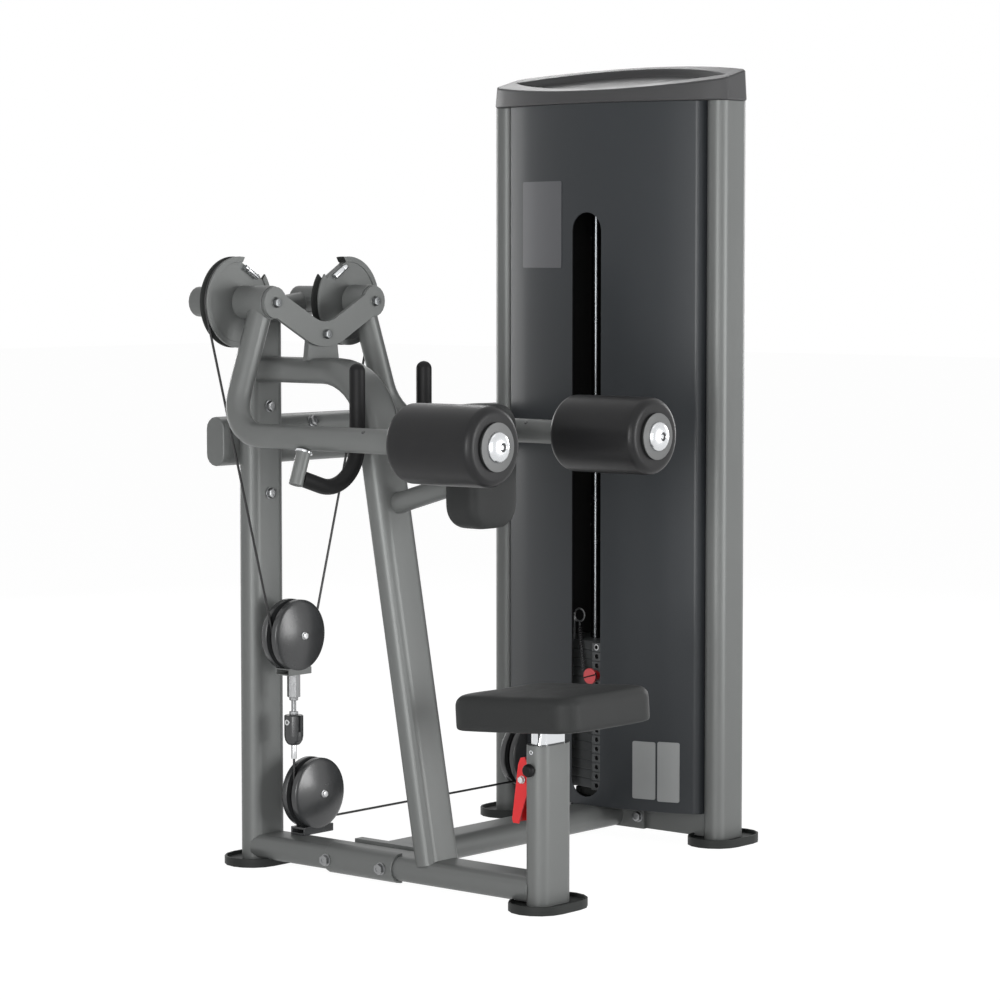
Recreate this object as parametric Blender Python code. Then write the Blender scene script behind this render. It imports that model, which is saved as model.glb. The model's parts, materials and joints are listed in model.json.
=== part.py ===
"""Lateral raise machine with a weight tower, built as separate named pieces.

Units are metres and +Z is up.  +Y is the way the user faces and +X points from
the seat to the weight tower.  The origin is on the floor under the seat post.
"""

import math

import bmesh
import bpy
from mathutils import Matrix, Vector

# Fits between pieces.
GAP = 0.0003
RUN = 0.0006

# Flat oval frame tube, and the height of the floor beams.
TUBE_W = 0.100
TUBE_T = 0.050
BEAM_Z = 0.0126
BEAM_TOP = BEAM_Z + TUBE_T
BEAM_MID = BEAM_Z + TUBE_T / 2
COPE = 0.012

# Rubber feet.
FOOT_L = 0.172
FOOT_W = 0.118
FOOT_H = 0.018
FOOT_FLOOR = 0.010
FOOT_RIM = 0.004
POST_Z = FOOT_FLOOR + GAP

# Seat.
SEAT_POST_TOP = 0.317
SEAT_TUBE_W = 0.080
SEAT_TUBE_T = 0.036
SEAT_TUBE_BOTTOM = 0.060
SEAT_PAD_Z = 0.351
SEAT_SIDE_H = 0.049
SEAT_CROWN = 0.023
SEAT_TILT = math.radians(3.9)
SEAT_PAD_X = 0.275
SEAT_PAD_Y = 0.300
SEAT_PAD_BACK = 0.0124
SEAT_CORNER = 0.045
KNOB_Z = 0.271
KNOB_R = 0.0125
KNOB_L = 0.016
KNOB_NECK = 0.003
LEVER_Y = TUBE_T / 2 + 0.020
LEVER_Z = 0.245
LEVER_HALF = 0.020
LEVER_WALL = 0.003
LEVER_PIN_R = 0.004
LEVER_PIN_OVER = 0.003
LUG_HALF = 0.016
LUG_R = 0.012
LUG_SINK = 0.010

# The seat lever seen from the side, as points out from the post and up from its pivot.
LEVER_OUTLINE = [
    (-0.003, 0.043),
    (-0.015, 0.017),
    (-0.0165, -0.009),
    (0.005, -0.065),
    (0.011, -0.086),
    (0.025, -0.086),
    (0.028, -0.079),
    (0.013, 0.027),
    (0.007, 0.041),
]
LEVER_HOLLOW = [
    (-0.045, 0.055),
    (-0.045, -0.145),
    (0.008, -0.145),
    (0.025, -0.081),
    (0.010, 0.026),
    (0.003, 0.055),
]

# Rear post, bent post and the brace behind them.
REAR_Y = 0.7578
REAR_TOP = 1.105
LEG_Y = 0.2829
LEG_SLOPE = 0.18
LEG_SINK = 0.010
BENT_Z = REAR_TOP - 0.096
BENT_R = 0.125
BRACE_Y = REAR_Y + TUBE_T / 2 + GAP
BRACE_D = 0.050
BRACE_Z = REAR_TOP - 0.2924
BRACE_H = 0.100
BRACE_X = -0.0806
BRACE_PAD = 0.080

# Chest pad.
CHEST_X = 0.143
CHEST_H = 0.240
CHEST_SIDE_D = 0.066
CHEST_CROWN = 0.022
CHEST_CORNER = 0.048
CHEST_Z = 0.836
CHEST_BACK = 0.210
CHEST_TUBE_R = 0.021
CHEST_TUBE_Z0 = 0.7465
CHEST_TUBE_Z1 = 0.8037
CHEST_PLATE_T = 0.004
CHEST_PLATE_HALF = 0.045

# Arm pivots and the plate in front of them.
PIVOT_X = 0.143
PIVOT_Z = REAR_TOP + 0.041
PLATE_Y = REAR_Y - 0.1841
PLATE_T = 0.008
PLATE_BACK = PLATE_Y + PLATE_T
PLATE_BAND = 0.050
PLATE_DIP = 0.076
PLATE_BEND_R = 0.0905
LOBE_R = 0.031
PIN_R = 0.010
PIN_HEAD_R = 0.0125
PIN_HEAD_L = 0.007
BRACKET_DEEP = 0.012
BRACKET_TOP = REAR_TOP - 0.001
BRACKET_HALF = 0.036
BRACKET_FLARE = 0.010
BRACKET_SINK = 0.004

# Bearing bracket on top of the rear post.
YOKE_HALF = 0.040
YOKE_H = 0.036
YOKE_INSET = 0.003
YOKE_ARM = 0.022

# Cams, one each side of the plane of the pulleys under them.
CABLE_Y = REAR_Y - 0.0898
CAM_Y = {-1: CABLE_Y + 0.015, 1: CABLE_Y - 0.013}
CABLE_R = 0.0025
CAM_R = 0.090
CAM_GROOVE_R = 0.082
CAM_HALF = 0.011
CAM_LIP = 0.0045
CAM_FLOOR_HALF = 0.0033
CAM_STEP = 0.001
CAM_DISH = 0.007
CAM_DISH_BACK = 0.006
CAM_RIM_IN = 0.079
CAM_HUB_R = 0.034
CAM_FACE = 0.0205
CAM_BACK = 0.015
CAM_NOTCH_R = 0.0715
CAM_NOTCH_HALF = 0.033
CAM_NOTCH_DEG = 31.0
SHAFT_R = 0.015
BOSS_R = 0.030
BOSS_END = REAR_Y + 0.0292
SHAFT_SHY = 0.001
BOSS_ARM_R = 0.021

# Arms, rollers and handles.
ARM_Y = REAR_Y - 0.1478
ARM_X = PIVOT_X + 0.0943
ARM_Z = PIVOT_Z - 0.255
ARM_R = 0.024
ARM_BEND_R = 0.085
HUB_R = 0.033
ROLL_Y0 = -0.0711
ROLL_Y1 = 0.138
ROLL_R = 0.075
ROLL_EDGE = 0.016
ROLL_RECESS_R = 0.047
ROLL_RECESS_D = 0.008
WASHER_R = 0.0435
WASHER_T = 0.0055
DOME_R = 0.026
DOME_H = 0.012
CAP_STUB_R = 0.018
ARM_END = 0.012
HANDLE_Y = 0.400
HANDLE_X = 0.097
HANDLE_TOP = ARM_Z + 0.139
HANDLE_R = 0.0155
HANDLE_LOW = ARM_Z - 0.1250
HANDLE_BEND_R = 0.080
PEG_R = 0.014
PEG_L = 0.070
PEG_GRIP = 0.0535

# Pulleys.  The housings hold the sheaves between two domed covers.
SHEAVE_R = 0.062
SHEAVE_GROOVE_R = 0.0525
SHEAVE_HALF = 0.007
SHEAVE_LIP = 0.0012
SHEAVE_FLOOR_HALF = 0.0029
AXLE_R = 0.008
COVER_R = 0.0724
COVER_IN = 0.0076
COVER_OUT = 0.0195
COVER_DOME = 0.0305
COVER_MID_R = 0.030
COVER_MID_DROP = 0.0022
COVER_EDGE_R = 0.055
COVER_EDGE_DROP = 0.0062
STRAP_HALF = 0.0325
STRAP_TOP = 0.066
STRAP_T = 0.014
ROUTE_R = SHEAVE_GROOVE_R + RUN + CABLE_R
FLOAT_Z = 0.4734
LOW_Z = 0.145
FERRULE_TOP = 0.2494
FERRULE_END = 0.221
FERRULE_R = 0.005
BLOCK_TOP = 0.3103
BLOCK_R = 0.0195
BLOCK_NECK = 0.018
HEX_END = 0.3468
HEX_R = 0.0140
ROD_R = 0.0050
NUT_R = 0.0095
NUT_H = 0.007
NUT_SINK = 0.003
LOW_FOOT = (0.010, 0.095)
TOP_SHEAVE_R = 0.045
TOP_GROOVE_R = 0.035
TOP_ROUTE_R = TOP_GROOVE_R + RUN + CABLE_R

# Weight tower.
TOWER_X = 0.784
TOWER_Y = REAR_Y - 0.3028
TOWER_HALF = 0.288
TOWER_TOP = 1.559
BASE_W = 0.054
FLANGE_T = 0.010
FLANGE_HALF = 0.105
STACK_X = TOWER_X + 0.011
BASE_FOOT = (STACK_X - 0.073, STACK_X + 0.005)
TOP_SHEAVE_Z = TOWER_TOP - 0.099
TOP_BEAM_Z = TOWER_TOP - 0.199
TOP_BEAM_H = 0.040
AXLE_PLATE_T = 0.006
AXLE_PLATE_H = 0.085
AXLE_PLATE_OVER = 0.030
AXLE_OVER = 0.004
CABLE_HOLE_R = 0.006
SHROUD_T = 0.003
SHROUD_HALF = TOWER_HALF - TUBE_T / 2 - GAP - SHROUD_T / 2
SHROUD_Z = BEAM_TOP + GAP
SHROUD_END_X = 0.050
SHROUD_BULGE = 0.106
SHROUD_CURL = 0.0225
SHROUD_CURL_R = 0.020
SLOT_W = 0.078
SLOT_Z0 = 0.080
SLOT_Z1 = TOWER_TOP - 0.2295
NOTCH_Y = TOWER_Y + SHROUD_HALF - 0.0762
NOTCH_Z = 0.235
CAP_OVER = 0.003
CAP_Z = TOWER_TOP + GAP
CAP_FRONT_H = 0.027
CAP_SLOPE = 0.262
CAP_RIM = 0.020
CAP_DEPTH = 0.015
CAP_EDGE = 0.004
CAP_CORNER = 0.016

# Weight stack.
PLATES = 16
PLATE_PITCH = 0.020
STACK_Z = 0.089
STACK_TOP = STACK_Z + PLATES * PLATE_PITCH
LIFTED = 4
NOSE_X = TOWER_X - 0.070
NOSE_HALF = 0.0135
SHOULDER_X = NOSE_X + 0.015
STACK_SIDE_X = NOSE_X + 0.041
STACK_BACK_X = NOSE_X + 0.141
STACK_HALF = 0.150
GROOVE_IN = 0.002
GROOVE_H = 0.0015
HOLE_R = 0.005
HOLE_D = 0.012
ROD_GUIDE_R = 0.011
ROD_GUIDE_Y = 0.067
BUMPER_R = 0.020
STEM_R = 0.010
STEM_TOP = STACK_TOP + 0.041
STEM_BOTTOM = STACK_Z + 0.006
COLLAR_R = 0.014
COLLAR_H = 0.012
KEY_R = 0.0045
KEY_END = NOSE_X + 0.098
KEY_SPACE = 0.004
KEY_HEAD_X = NOSE_X - 0.024
KEY_HEAD_R = 0.017
KEY_HEAD_L = 0.012
KEY_EDGE = 0.0015
KEY_NECK_R = 0.0095

# Curly lanyard from the selector pin to the ring on the top plate.
RING_X = NOSE_X + 0.031
RING_Y = TOWER_Y + 0.072
RING_Z = STACK_TOP + 0.0526
RING_R = 0.0140
RING_WIRE = 0.0018
EYE_R = 0.003
EYE_SINK = 0.004
COIL_R = 0.0036
COIL_WIRE = 0.0013
COIL_PITCH = 0.0056
COIL_LEAD = 0.006
COIL_POINTS = 8
RING_STEPS = 16

# Clamp strap round the main beam at the cross beam.
SADDLE_T = 0.005
SADDLE_Y = TOWER_Y - 0.010
SADDLE_HALF = 0.091
SADDLE_EDGE = -0.020
CLAMP_IN = 0.012
CLAMP_OUT = 0.010
CLAMP_RISE = 0.005

# Where the two ends of the upper cable are tucked in, past the cam's notch.
TUCK_DEG = 28.0

# Sides and steps of round pieces and curves.
ROUND = 14
FINE = 20
CAM_SIDES = 26
ROLL_SIDES = 24
SHEAVE_SIDES = 16
SMALL = 12
BEND_STEPS = 8
SHROUD_STEPS = 18
CAP_STEPS = 16

# Colours as linear red, green, blue, then metallic and roughness.
FRAME_GREY = (0.105, 0.112, 0.112, 0.35, 0.42)
DARK_GREY = (0.030, 0.033, 0.036, 0.15, 0.50)
BLACK = (0.010, 0.010, 0.011, 0.0, 0.55)
PLASTIC = (0.022, 0.023, 0.024, 0.0, 0.45)
CHROME = (0.62, 0.63, 0.64, 1.0, 0.14)
STEEL = (0.045, 0.047, 0.048, 0.7, 0.45)
RED = (0.62, 0.035, 0.035, 0.0, 0.38)


def clear_scene():
    for obj in list(bpy.data.objects):
        bpy.data.objects.remove(obj, do_unlink=True)


def new_collection(name, helper):
    group = bpy.data.collections.new(name)
    bpy.context.scene.collection.children.link(group)
    group.hide_render = helper
    return group


def give_material(obj, look):
    mat = bpy.data.materials.new(obj.name)
    mat.use_nodes = True
    mat.diffuse_color = (look[0], look[1], look[2], 1.0)
    shader = mat.node_tree.nodes["Principled BSDF"]
    shader.inputs["Base Color"].default_value = (look[0], look[1], look[2], 1.0)
    shader.inputs["Metallic"].default_value = look[3]
    shader.inputs["Roughness"].default_value = look[4]
    obj.data.materials.clear()
    obj.data.materials.append(mat)


def from_bmesh(name, bm):
    bmesh.ops.remove_doubles(bm, verts=bm.verts, dist=1e-6)
    bmesh.ops.recalc_face_normals(bm, faces=bm.faces)
    mesh = bpy.data.meshes.new(name)
    bm.to_mesh(mesh)
    bm.free()
    return bpy.data.objects.new(name, mesh)


def part(obj, look, origin=(0.0, 0.0, 0.0)):
    """Put a finished piece in the object's collection, with its origin at a point."""
    PARTS.objects.link(obj)
    obj.data.transform(Matrix.Translation(-Vector(origin)))
    obj.location = origin
    give_material(obj, look)
    return obj


def helper(obj):
    HELPERS.objects.link(obj)
    obj.hide_render = True
    obj.display_type = "WIRE"
    return obj


def combine(obj, other, operation):
    mod = obj.modifiers.new(other.name, "BOOLEAN")
    mod.operation = operation
    mod.solver = "EXACT"
    mod.object = helper(other)


def cut(obj, other):
    combine(obj, other, "DIFFERENCE")


def join(obj, other):
    combine(obj, other, "UNION")


def on_axis(axis, a, b, c):
    if axis == "X":
        return Vector((c, a, b))
    if axis == "Y":
        return Vector((a, c, b))
    return Vector((a, b, c))


def prism(name, outline, axis, low, high):
    """A flat outline drawn along an axis.  The outline runs in the other two directions."""
    bm = bmesh.new()
    rings = []
    for level in (low, high):
        rings.append([bm.verts.new(on_axis(axis, a, b, level)) for a, b in outline])
    bm.faces.new(rings[0])
    bm.faces.new(rings[1])
    count = len(outline)
    for i in range(count):
        j = (i + 1) % count
        bm.faces.new((rings[0][i], rings[0][j], rings[1][j], rings[1][i]))
    return from_bmesh(name, bm)


def box(name, low, high):
    outline = [(low[0], low[1]), (high[0], low[1]), (high[0], high[1]), (low[0], high[1])]
    return prism(name, outline, "Z", low[2], high[2])


def stadium(length, width, at=(0.0, 0.0), steps=8):
    radius = width / 2
    half = length / 2 - radius
    points = []
    for side, start in ((1, -90), (-1, 90)):
        for i in range(steps + 1):
            turn = math.radians(start + 180 * i / steps)
            a = at[0] + side * half + radius * math.cos(turn)
            points.append((a, at[1] + radius * math.sin(turn)))
    return points


def upright(points):
    """Swap the two directions of an outline."""
    return [(b, a) for a, b in reversed(points)]


def circle(radius, at, steps=ROUND):
    points = []
    for i in range(steps):
        turn = 2 * math.pi * i / steps
        points.append((at[0] + radius * math.cos(turn), at[1] + radius * math.sin(turn)))
    return points


def rod(name, radius, axis, at, low, high, steps=ROUND):
    return prism(name, circle(radius, at, steps), axis, low, high)


def turned(name, profile, axis, at, steps=FINE, closed=False):
    """Turn a profile of (radius, place along the axis) pairs about an axis."""
    bm = bmesh.new()
    rings = []
    for radius, along in profile:
        if radius == 0:
            rings.append([bm.verts.new(on_axis(axis, at[0], at[1], along))])
        else:
            ring = circle(radius, at, steps)
            rings.append([bm.verts.new(on_axis(axis, a, b, along)) for a, b in ring])
    pairs = list(zip(rings, rings[1:]))
    if closed:
        pairs.append((rings[-1], rings[0]))
    for one, two in pairs:
        for i in range(steps):
            j = (i + 1) % steps
            corners = [one[i % len(one)], one[j % len(one)], two[j % len(two)], two[i % len(two)]]
            face = list(dict.fromkeys(corners))
            bm.faces.new(face)
    return from_bmesh(name, bm)


def rounded_path(points, radius, steps=8):
    """Replace each inner corner of a path with an arc."""
    points = [Vector(p) for p in points]
    path = [points[0]]
    for before, corner, after in zip(points, points[1:], points[2:]):
        one = (before - corner).normalized()
        two = (after - corner).normalized()
        half = one.angle(two) / 2
        middle = corner + (one + two).normalized() * (radius / math.sin(half))
        reach = radius / math.tan(half)
        start = corner + one * reach - middle
        end = corner + two * reach - middle
        sweep = start.angle(end)
        for i in range(steps + 1):
            t = i / steps
            first = math.sin((1 - t) * sweep)
            last = math.sin(t * sweep)
            path.append(middle + (start * first + end * last) / math.sin(sweep))
    path.append(points[-1])
    return path


def round_tube(name, path, radius, resolution=4, taper=()):
    """A bevelled curve with filled caps, made into a mesh.  taper scales its last points."""
    curve = bpy.data.curves.new(name, "CURVE")
    curve.dimensions = "3D"
    curve.bevel_depth = radius
    curve.bevel_resolution = resolution
    curve.use_fill_caps = True
    spline = curve.splines.new("POLY")
    spline.points.add(len(path) - 1)
    for point, place in zip(spline.points, path):
        point.co = (place[0], place[1], place[2], 1.0)
    for point, scale in zip(reversed(spline.points), reversed(taper)):
        point.radius = scale
    guide = helper(bpy.data.objects.new(name, curve))
    bpy.context.view_layer.update()
    mesh = bpy.data.meshes.new_from_object(guide.evaluated_get(bpy.context.evaluated_depsgraph_get()))
    bpy.data.objects.remove(guide, do_unlink=True)
    bm = bmesh.new()
    bm.from_mesh(mesh)
    bpy.data.meshes.remove(mesh)
    return from_bmesh(name, bm)


def side_sweep(name, path, section):
    """Carry a section along a path in the YZ plane.  The section is (across X, across the path)."""
    bm = bmesh.new()
    rings = []
    for i, place in enumerate(path):
        before = path[max(i - 1, 0)]
        after = path[min(i + 1, len(path) - 1)]
        run = (Vector(after) - Vector(before)).normalized()
        out = Vector((0.0, -run.z, run.y))
        rings.append([bm.verts.new(Vector(place) + Vector((a, 0, 0)) + out * b) for a, b in section])
    bm.faces.new(rings[0])
    bm.faces.new(rings[-1])
    count = len(section)
    for one, two in zip(rings, rings[1:]):
        for i in range(count):
            j = (i + 1) % count
            bm.faces.new((one[i], one[j], two[j], two[i]))
    return from_bmesh(name, bm)


def ribbon(path, thickness):
    """The outline of a strip of even thickness along a flat path."""
    left = []
    right = []
    for i, place in enumerate(path):
        before = Vector(path[max(i - 1, 0)][:2])
        after = Vector(path[min(i + 1, len(path) - 1)][:2])
        run = (after - before).normalized()
        out = Vector((-run.y, run.x)) * thickness / 2
        left.append((place[0] + out.x, place[1] + out.y))
        right.append((place[0] - out.x, place[1] - out.y))
    return left + right[::-1]


def arc_to(start, end, bulge, steps):
    """Points of an arc from start to end that bulges along -X by the given sag."""
    half = (end[1] - start[1]) / 2
    radius = (half * half + bulge * bulge) / (2 * bulge)
    middle_y = (start[1] + end[1]) / 2
    middle_x = start[0] - bulge + radius
    reach = math.asin(half / radius)
    points = []
    for i in range(steps + 1):
        turn = -reach + 2 * reach * i / steps
        points.append((middle_x - radius * math.cos(turn), middle_y + radius * math.sin(turn)))
    return points


def cushion(name, wide, long, side, crown, corner, place):
    """A stuffed pad with a crowned face and sides drawn in toward its flat back.

    place turns (across, along, height over the back) into a point.
    """
    outline = []
    half = (wide / 2 - corner, long / 2 - corner)
    for a, b, start in ((1, 1, 0), (-1, 1, 90), (-1, -1, 180), (1, -1, 270)):
        for i in range(6):
            turn = math.radians(start + 18 * i)
            outline.append((a * half[0] + corner * math.cos(turn), b * half[1] + corner * math.sin(turn)))
    layers = [
        (0.55, 0.0),
        (0.955, 0.0),
        (0.985, 0.10 * side),
        (1.0, 0.50 * side),
        (0.997, 0.86 * side),
        (0.985, side),
        (0.95, side + 0.52 * crown),
        (0.88, side + 0.80 * crown),
        (0.62, side + 0.95 * crown),
        (0.30, side + 0.99 * crown),
    ]
    bm = bmesh.new()
    rings = []
    for scale, height in layers:
        rings.append([bm.verts.new(place(a * scale, b * scale, height)) for a, b in outline])
    low = bm.verts.new(place(0, 0, 0))
    top = bm.verts.new(place(0, 0, side + crown))
    count = len(outline)
    for i in range(count):
        j = (i + 1) % count
        bm.faces.new((rings[0][i], rings[0][j], low))
        bm.faces.new((rings[-1][i], rings[-1][j], top))
        for one, two in zip(rings, rings[1:]):
            bm.faces.new((one[i], one[j], two[j], two[i]))
    return from_bmesh(name, bm)


def flat_oval(name, axis, at, low, high, grow=0.0, tall=False):
    """A straight flat oval tube, lying with its broad side across the first direction."""
    points = stadium(TUBE_W + 2 * grow, TUBE_T + 2 * grow)
    if tall:
        points = upright(points)
    return prism(name, [(at[0] + a, at[1] + b) for a, b in points], axis, low, high)


def main_beam_shape(name, grow=0.0):
    low = COPE - grow
    return flat_oval(name, "Y", (0, BEAM_MID), low, REAR_Y - COPE + grow, grow)


def base_beam_shape(name, grow=0.0):
    inner = TOWER_HALF - TUBE_T / 2 - GAP
    low = (TOWER_X - BASE_W / 2 - grow, TOWER_Y - inner - grow, BEAM_Z - grow)
    return box(name, low, (TOWER_X + BASE_W / 2 + grow, TOWER_Y + inner + grow, BEAM_TOP + grow))


def bent_path():
    rise = BENT_Z - BEAM_TOP
    corner = (0, LEG_Y + LEG_SLOPE * rise, BENT_Z)
    start = (0, LEG_Y - LEG_SLOPE * LEG_SINK, BEAM_TOP - LEG_SINK)
    return rounded_path([start, corner, (0, REAR_Y - COPE, BENT_Z)], BENT_R, BEND_STEPS)


def build_feet():
    places = {
        "foot_seat": (0.0, 0.0),
        "foot_rear": (0.0, REAR_Y),
        "foot_tower_near": (TOWER_X, TOWER_Y - TOWER_HALF),
        "foot_tower_far": (TOWER_X, TOWER_Y + TOWER_HALF),
    }
    for name, at in places.items():
        foot = prism(name, stadium(FOOT_L, FOOT_W, at), "Z", 0.0, FOOT_H)
        inside = stadium(FOOT_L - 2 * FOOT_RIM, FOOT_W - 2 * FOOT_RIM, at)
        cut(foot, prism(name + "_recess", inside, "Z", FOOT_FLOOR, FOOT_H * 2))
        if "tower" in name:
            cut(foot, base_beam_shape(name + "_way", GAP))
        else:
            cut(foot, main_beam_shape(name + "_way", GAP))
        part(foot, BLACK)


def build_frame():
    post = flat_oval("seat_post", "Z", (0, 0), POST_Z, SEAT_POST_TOP)
    lug_y = TUBE_T / 2 - LUG_SINK
    lug = box("lug", (-LUG_HALF, lug_y, LEVER_Z - LUG_R), (LUG_HALF, LEVER_Y, LEVER_Z + LUG_R))
    join(post, lug)
    join(post, rod("lug_end", LUG_R, "X", (LEVER_Y, LEVER_Z), -LUG_HALF, LUG_HALF))
    hole = LEVER_PIN_R + RUN
    cut(post, rod("lug_hole", hole, "X", (LEVER_Y, LEVER_Z), -TUBE_W, TUBE_W))
    bore = stadium(SEAT_TUBE_W + 2 * RUN, SEAT_TUBE_T + 2 * RUN)
    cut(post, prism("seat_bore", bore, "Z", SEAT_TUBE_BOTTOM - RUN, SEAT_PAD_Z))
    part(post, FRAME_GREY)

    beam = main_beam_shape("main_beam")
    cut(beam, flat_oval("seat_cope", "Z", (0, 0), 0.0, BEAM_TOP * 2, GAP))
    cut(beam, flat_oval("rear_cope", "Z", (0, REAR_Y), 0.0, BEAM_TOP * 2, GAP))
    part(beam, FRAME_GREY)

    part(flat_oval("rear_post", "Z", (0, REAR_Y), POST_Z, REAR_TOP), FRAME_GREY)

    section = stadium(TUBE_W, TUBE_T)
    bent = side_sweep("bent_post", bent_path(), section)
    bottom = TUBE_T / 2 - BRACKET_SINK
    wide = BRACKET_HALF + BRACKET_FLARE
    slim = BRACKET_HALF
    front = PLATE_BACK + GAP
    outline = [(-wide, BENT_Z + bottom), (wide, BENT_Z + bottom), (slim, BRACKET_TOP), (-slim, BRACKET_TOP)]
    join(bent, prism("plate_bracket", outline, "Y", front, front + BRACKET_DEEP))
    cut(bent, main_beam_shape("leg_cope", GAP))
    cut(bent, flat_oval("bent_cope", "Z", (0, REAR_Y), BENT_Z - TUBE_W, BENT_Z + TUBE_W, GAP))
    part(bent, FRAME_GREY)

    start = COPE + TUBE_T / 2
    flange_x = TOWER_X - BASE_W / 2 - GAP
    cross = flat_oval("cross_beam", "X", (TOWER_Y, BEAM_MID), start, flange_x - FLANGE_T / 2)
    low = (flange_x - FLANGE_T, TOWER_Y - FLANGE_HALF, BEAM_Z)
    join(cross, box("tower_flange", low, (flange_x, TOWER_Y + FLANGE_HALF, BEAM_TOP)))
    low = (TUBE_W / 2 - CLAMP_IN, SADDLE_Y - SADDLE_HALF, BEAM_MID)
    high = (TUBE_W / 2 + CLAMP_OUT, SADDLE_Y + SADDLE_HALF, BEAM_TOP + CLAMP_RISE)
    join(cross, box("clamp_plate", low, high))
    cut(cross, main_beam_shape("cross_cope", GAP))
    part(cross, FRAME_GREY)

    low = SADDLE_Y - SADDLE_HALF
    high = SADDLE_Y + SADDLE_HALF
    outer = stadium(TUBE_W + 2 * SADDLE_T, TUBE_T + 2 * SADDLE_T, (0, BEAM_MID))
    saddle = prism("clamp_saddle", outer, "Y", low, high)
    inner = stadium(TUBE_W + 2 * GAP, TUBE_T + 2 * GAP, (0, BEAM_MID))
    cut(saddle, prism("saddle_bore", inner, "Y", low - TUBE_T, high + TUBE_T))
    corner = (TUBE_W, high + TUBE_T, BEAM_TOP + TUBE_T)
    cut(saddle, box("saddle_half", (SADDLE_EDGE, low - TUBE_T, BEAM_Z - TUBE_T), corner))
    part(saddle, FRAME_GREY)

    build_brace()


def build_brace():
    end = TOWER_X + TUBE_W / 2
    outline = stadium(BRACE_H, BRACE_D, (BRACE_Z + BRACE_H / 2, BRACE_Y + BRACE_D / 2))
    brace = prism("rear_brace", upright(outline), "X", BRACE_X, end)
    face = TOWER_Y + TOWER_HALF + TUBE_T / 2 + GAP
    half = BRACE_PAD / 2
    low = (TOWER_X - half, face, BRACE_Z + BRACE_H / 2 - half)
    high = (TOWER_X + half, BRACE_Y + BRACE_D / 4, BRACE_Z + BRACE_H / 2 + half)
    join(brace, box("brace_pad", low, high))
    part(brace, FRAME_GREY)


def build_seat():
    middle = Vector((0, -SEAT_PAD_BACK, SEAT_PAD_Z))
    lean = Matrix.Rotation(-SEAT_TILT, 3, "X")

    def seat_place(a, b, height):
        return middle + lean @ Vector((a, b, height))

    tube = prism("seat_tube", stadium(SEAT_TUBE_W, SEAT_TUBE_T), "Z", SEAT_TUBE_BOTTOM, SEAT_PAD_Z)
    for vert in tube.data.vertices:
        if vert.co.z > SEAT_POST_TOP:
            vert.co.z = SEAT_PAD_Z - GAP - math.tan(SEAT_TILT) * (vert.co.y + SEAT_PAD_BACK)
    part(tube, CHROME, (0, 0, SEAT_POST_TOP))

    pad = cushion("seat_pad", SEAT_PAD_X, SEAT_PAD_Y, SEAT_SIDE_H, SEAT_CROWN, SEAT_CORNER, seat_place)
    part(pad, BLACK, (0, 0, SEAT_POST_TOP))

    outline = [(LEVER_Y + a, LEVER_Z + b) for a, b in LEVER_OUTLINE]
    lever = prism("seat_lever", outline, "X", -LEVER_HALF, LEVER_HALF)
    inside = [(LEVER_Y + a, LEVER_Z + b) for a, b in LEVER_HOLLOW]
    half = LEVER_HALF - LEVER_WALL
    cut(lever, prism("lever_hollow", inside, "X", -half, half))
    reach = LEVER_HALF + LEVER_PIN_OVER
    join(lever, rod("lever_pin", LEVER_PIN_R, "X", (LEVER_Y, LEVER_Z), -reach, reach))
    part(lever, RED, (0, LEVER_Y, LEVER_Z))

    face = -TUBE_W / 2 - GAP
    profile = [
        (0, face),
        (KNOB_R * 0.7, face),
        (KNOB_R * 0.7, face - KNOB_NECK),
        (KNOB_R, face - KNOB_NECK * 1.3),
        (KNOB_R, face - KNOB_L * 0.7),
        (KNOB_R * 0.7, face - KNOB_L),
        (0, face - KNOB_L),
    ]
    part(turned("seat_knob", profile, "X", (0, KNOB_Z), ROUND), BLACK)


def build_chest_pad():
    def chest_place(a, b, height):
        return Vector((a, CHEST_BACK - height, CHEST_Z + b))

    pad = cushion("chest_pad", CHEST_X, CHEST_H, CHEST_SIDE_D, CHEST_CROWN, CHEST_CORNER, chest_place)
    part(pad, BLACK)

    back = CHEST_BACK + GAP
    plate_y = back + CHEST_PLATE_T
    flush = back + CHEST_PLATE_T / 2
    leg_y = LEG_Y + LEG_SLOPE * (CHEST_TUBE_Z0 - BEAM_TOP)
    tube = round_tube("chest_tube", [(0, leg_y, CHEST_TUBE_Z0), (0, flush, CHEST_TUBE_Z1)], CHEST_TUBE_R, 6)
    low = (-CHEST_X, flush - CHEST_H, CHEST_TUBE_Z1 - CHEST_H)
    cut(tube, box("chest_flush", low, (CHEST_X, flush, CHEST_TUBE_Z1 + CHEST_H)))
    half = CHEST_PLATE_HALF
    plate = box("chest_plate", (-half, back, CHEST_TUBE_Z1 - half), (half, plate_y, CHEST_TUBE_Z1 + half))
    join(tube, plate)
    section = stadium(TUBE_W + 2 * GAP, TUBE_T + 2 * GAP)
    cut(tube, side_sweep("chest_cope", bent_path(), section))
    part(tube, FRAME_GREY)


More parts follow.
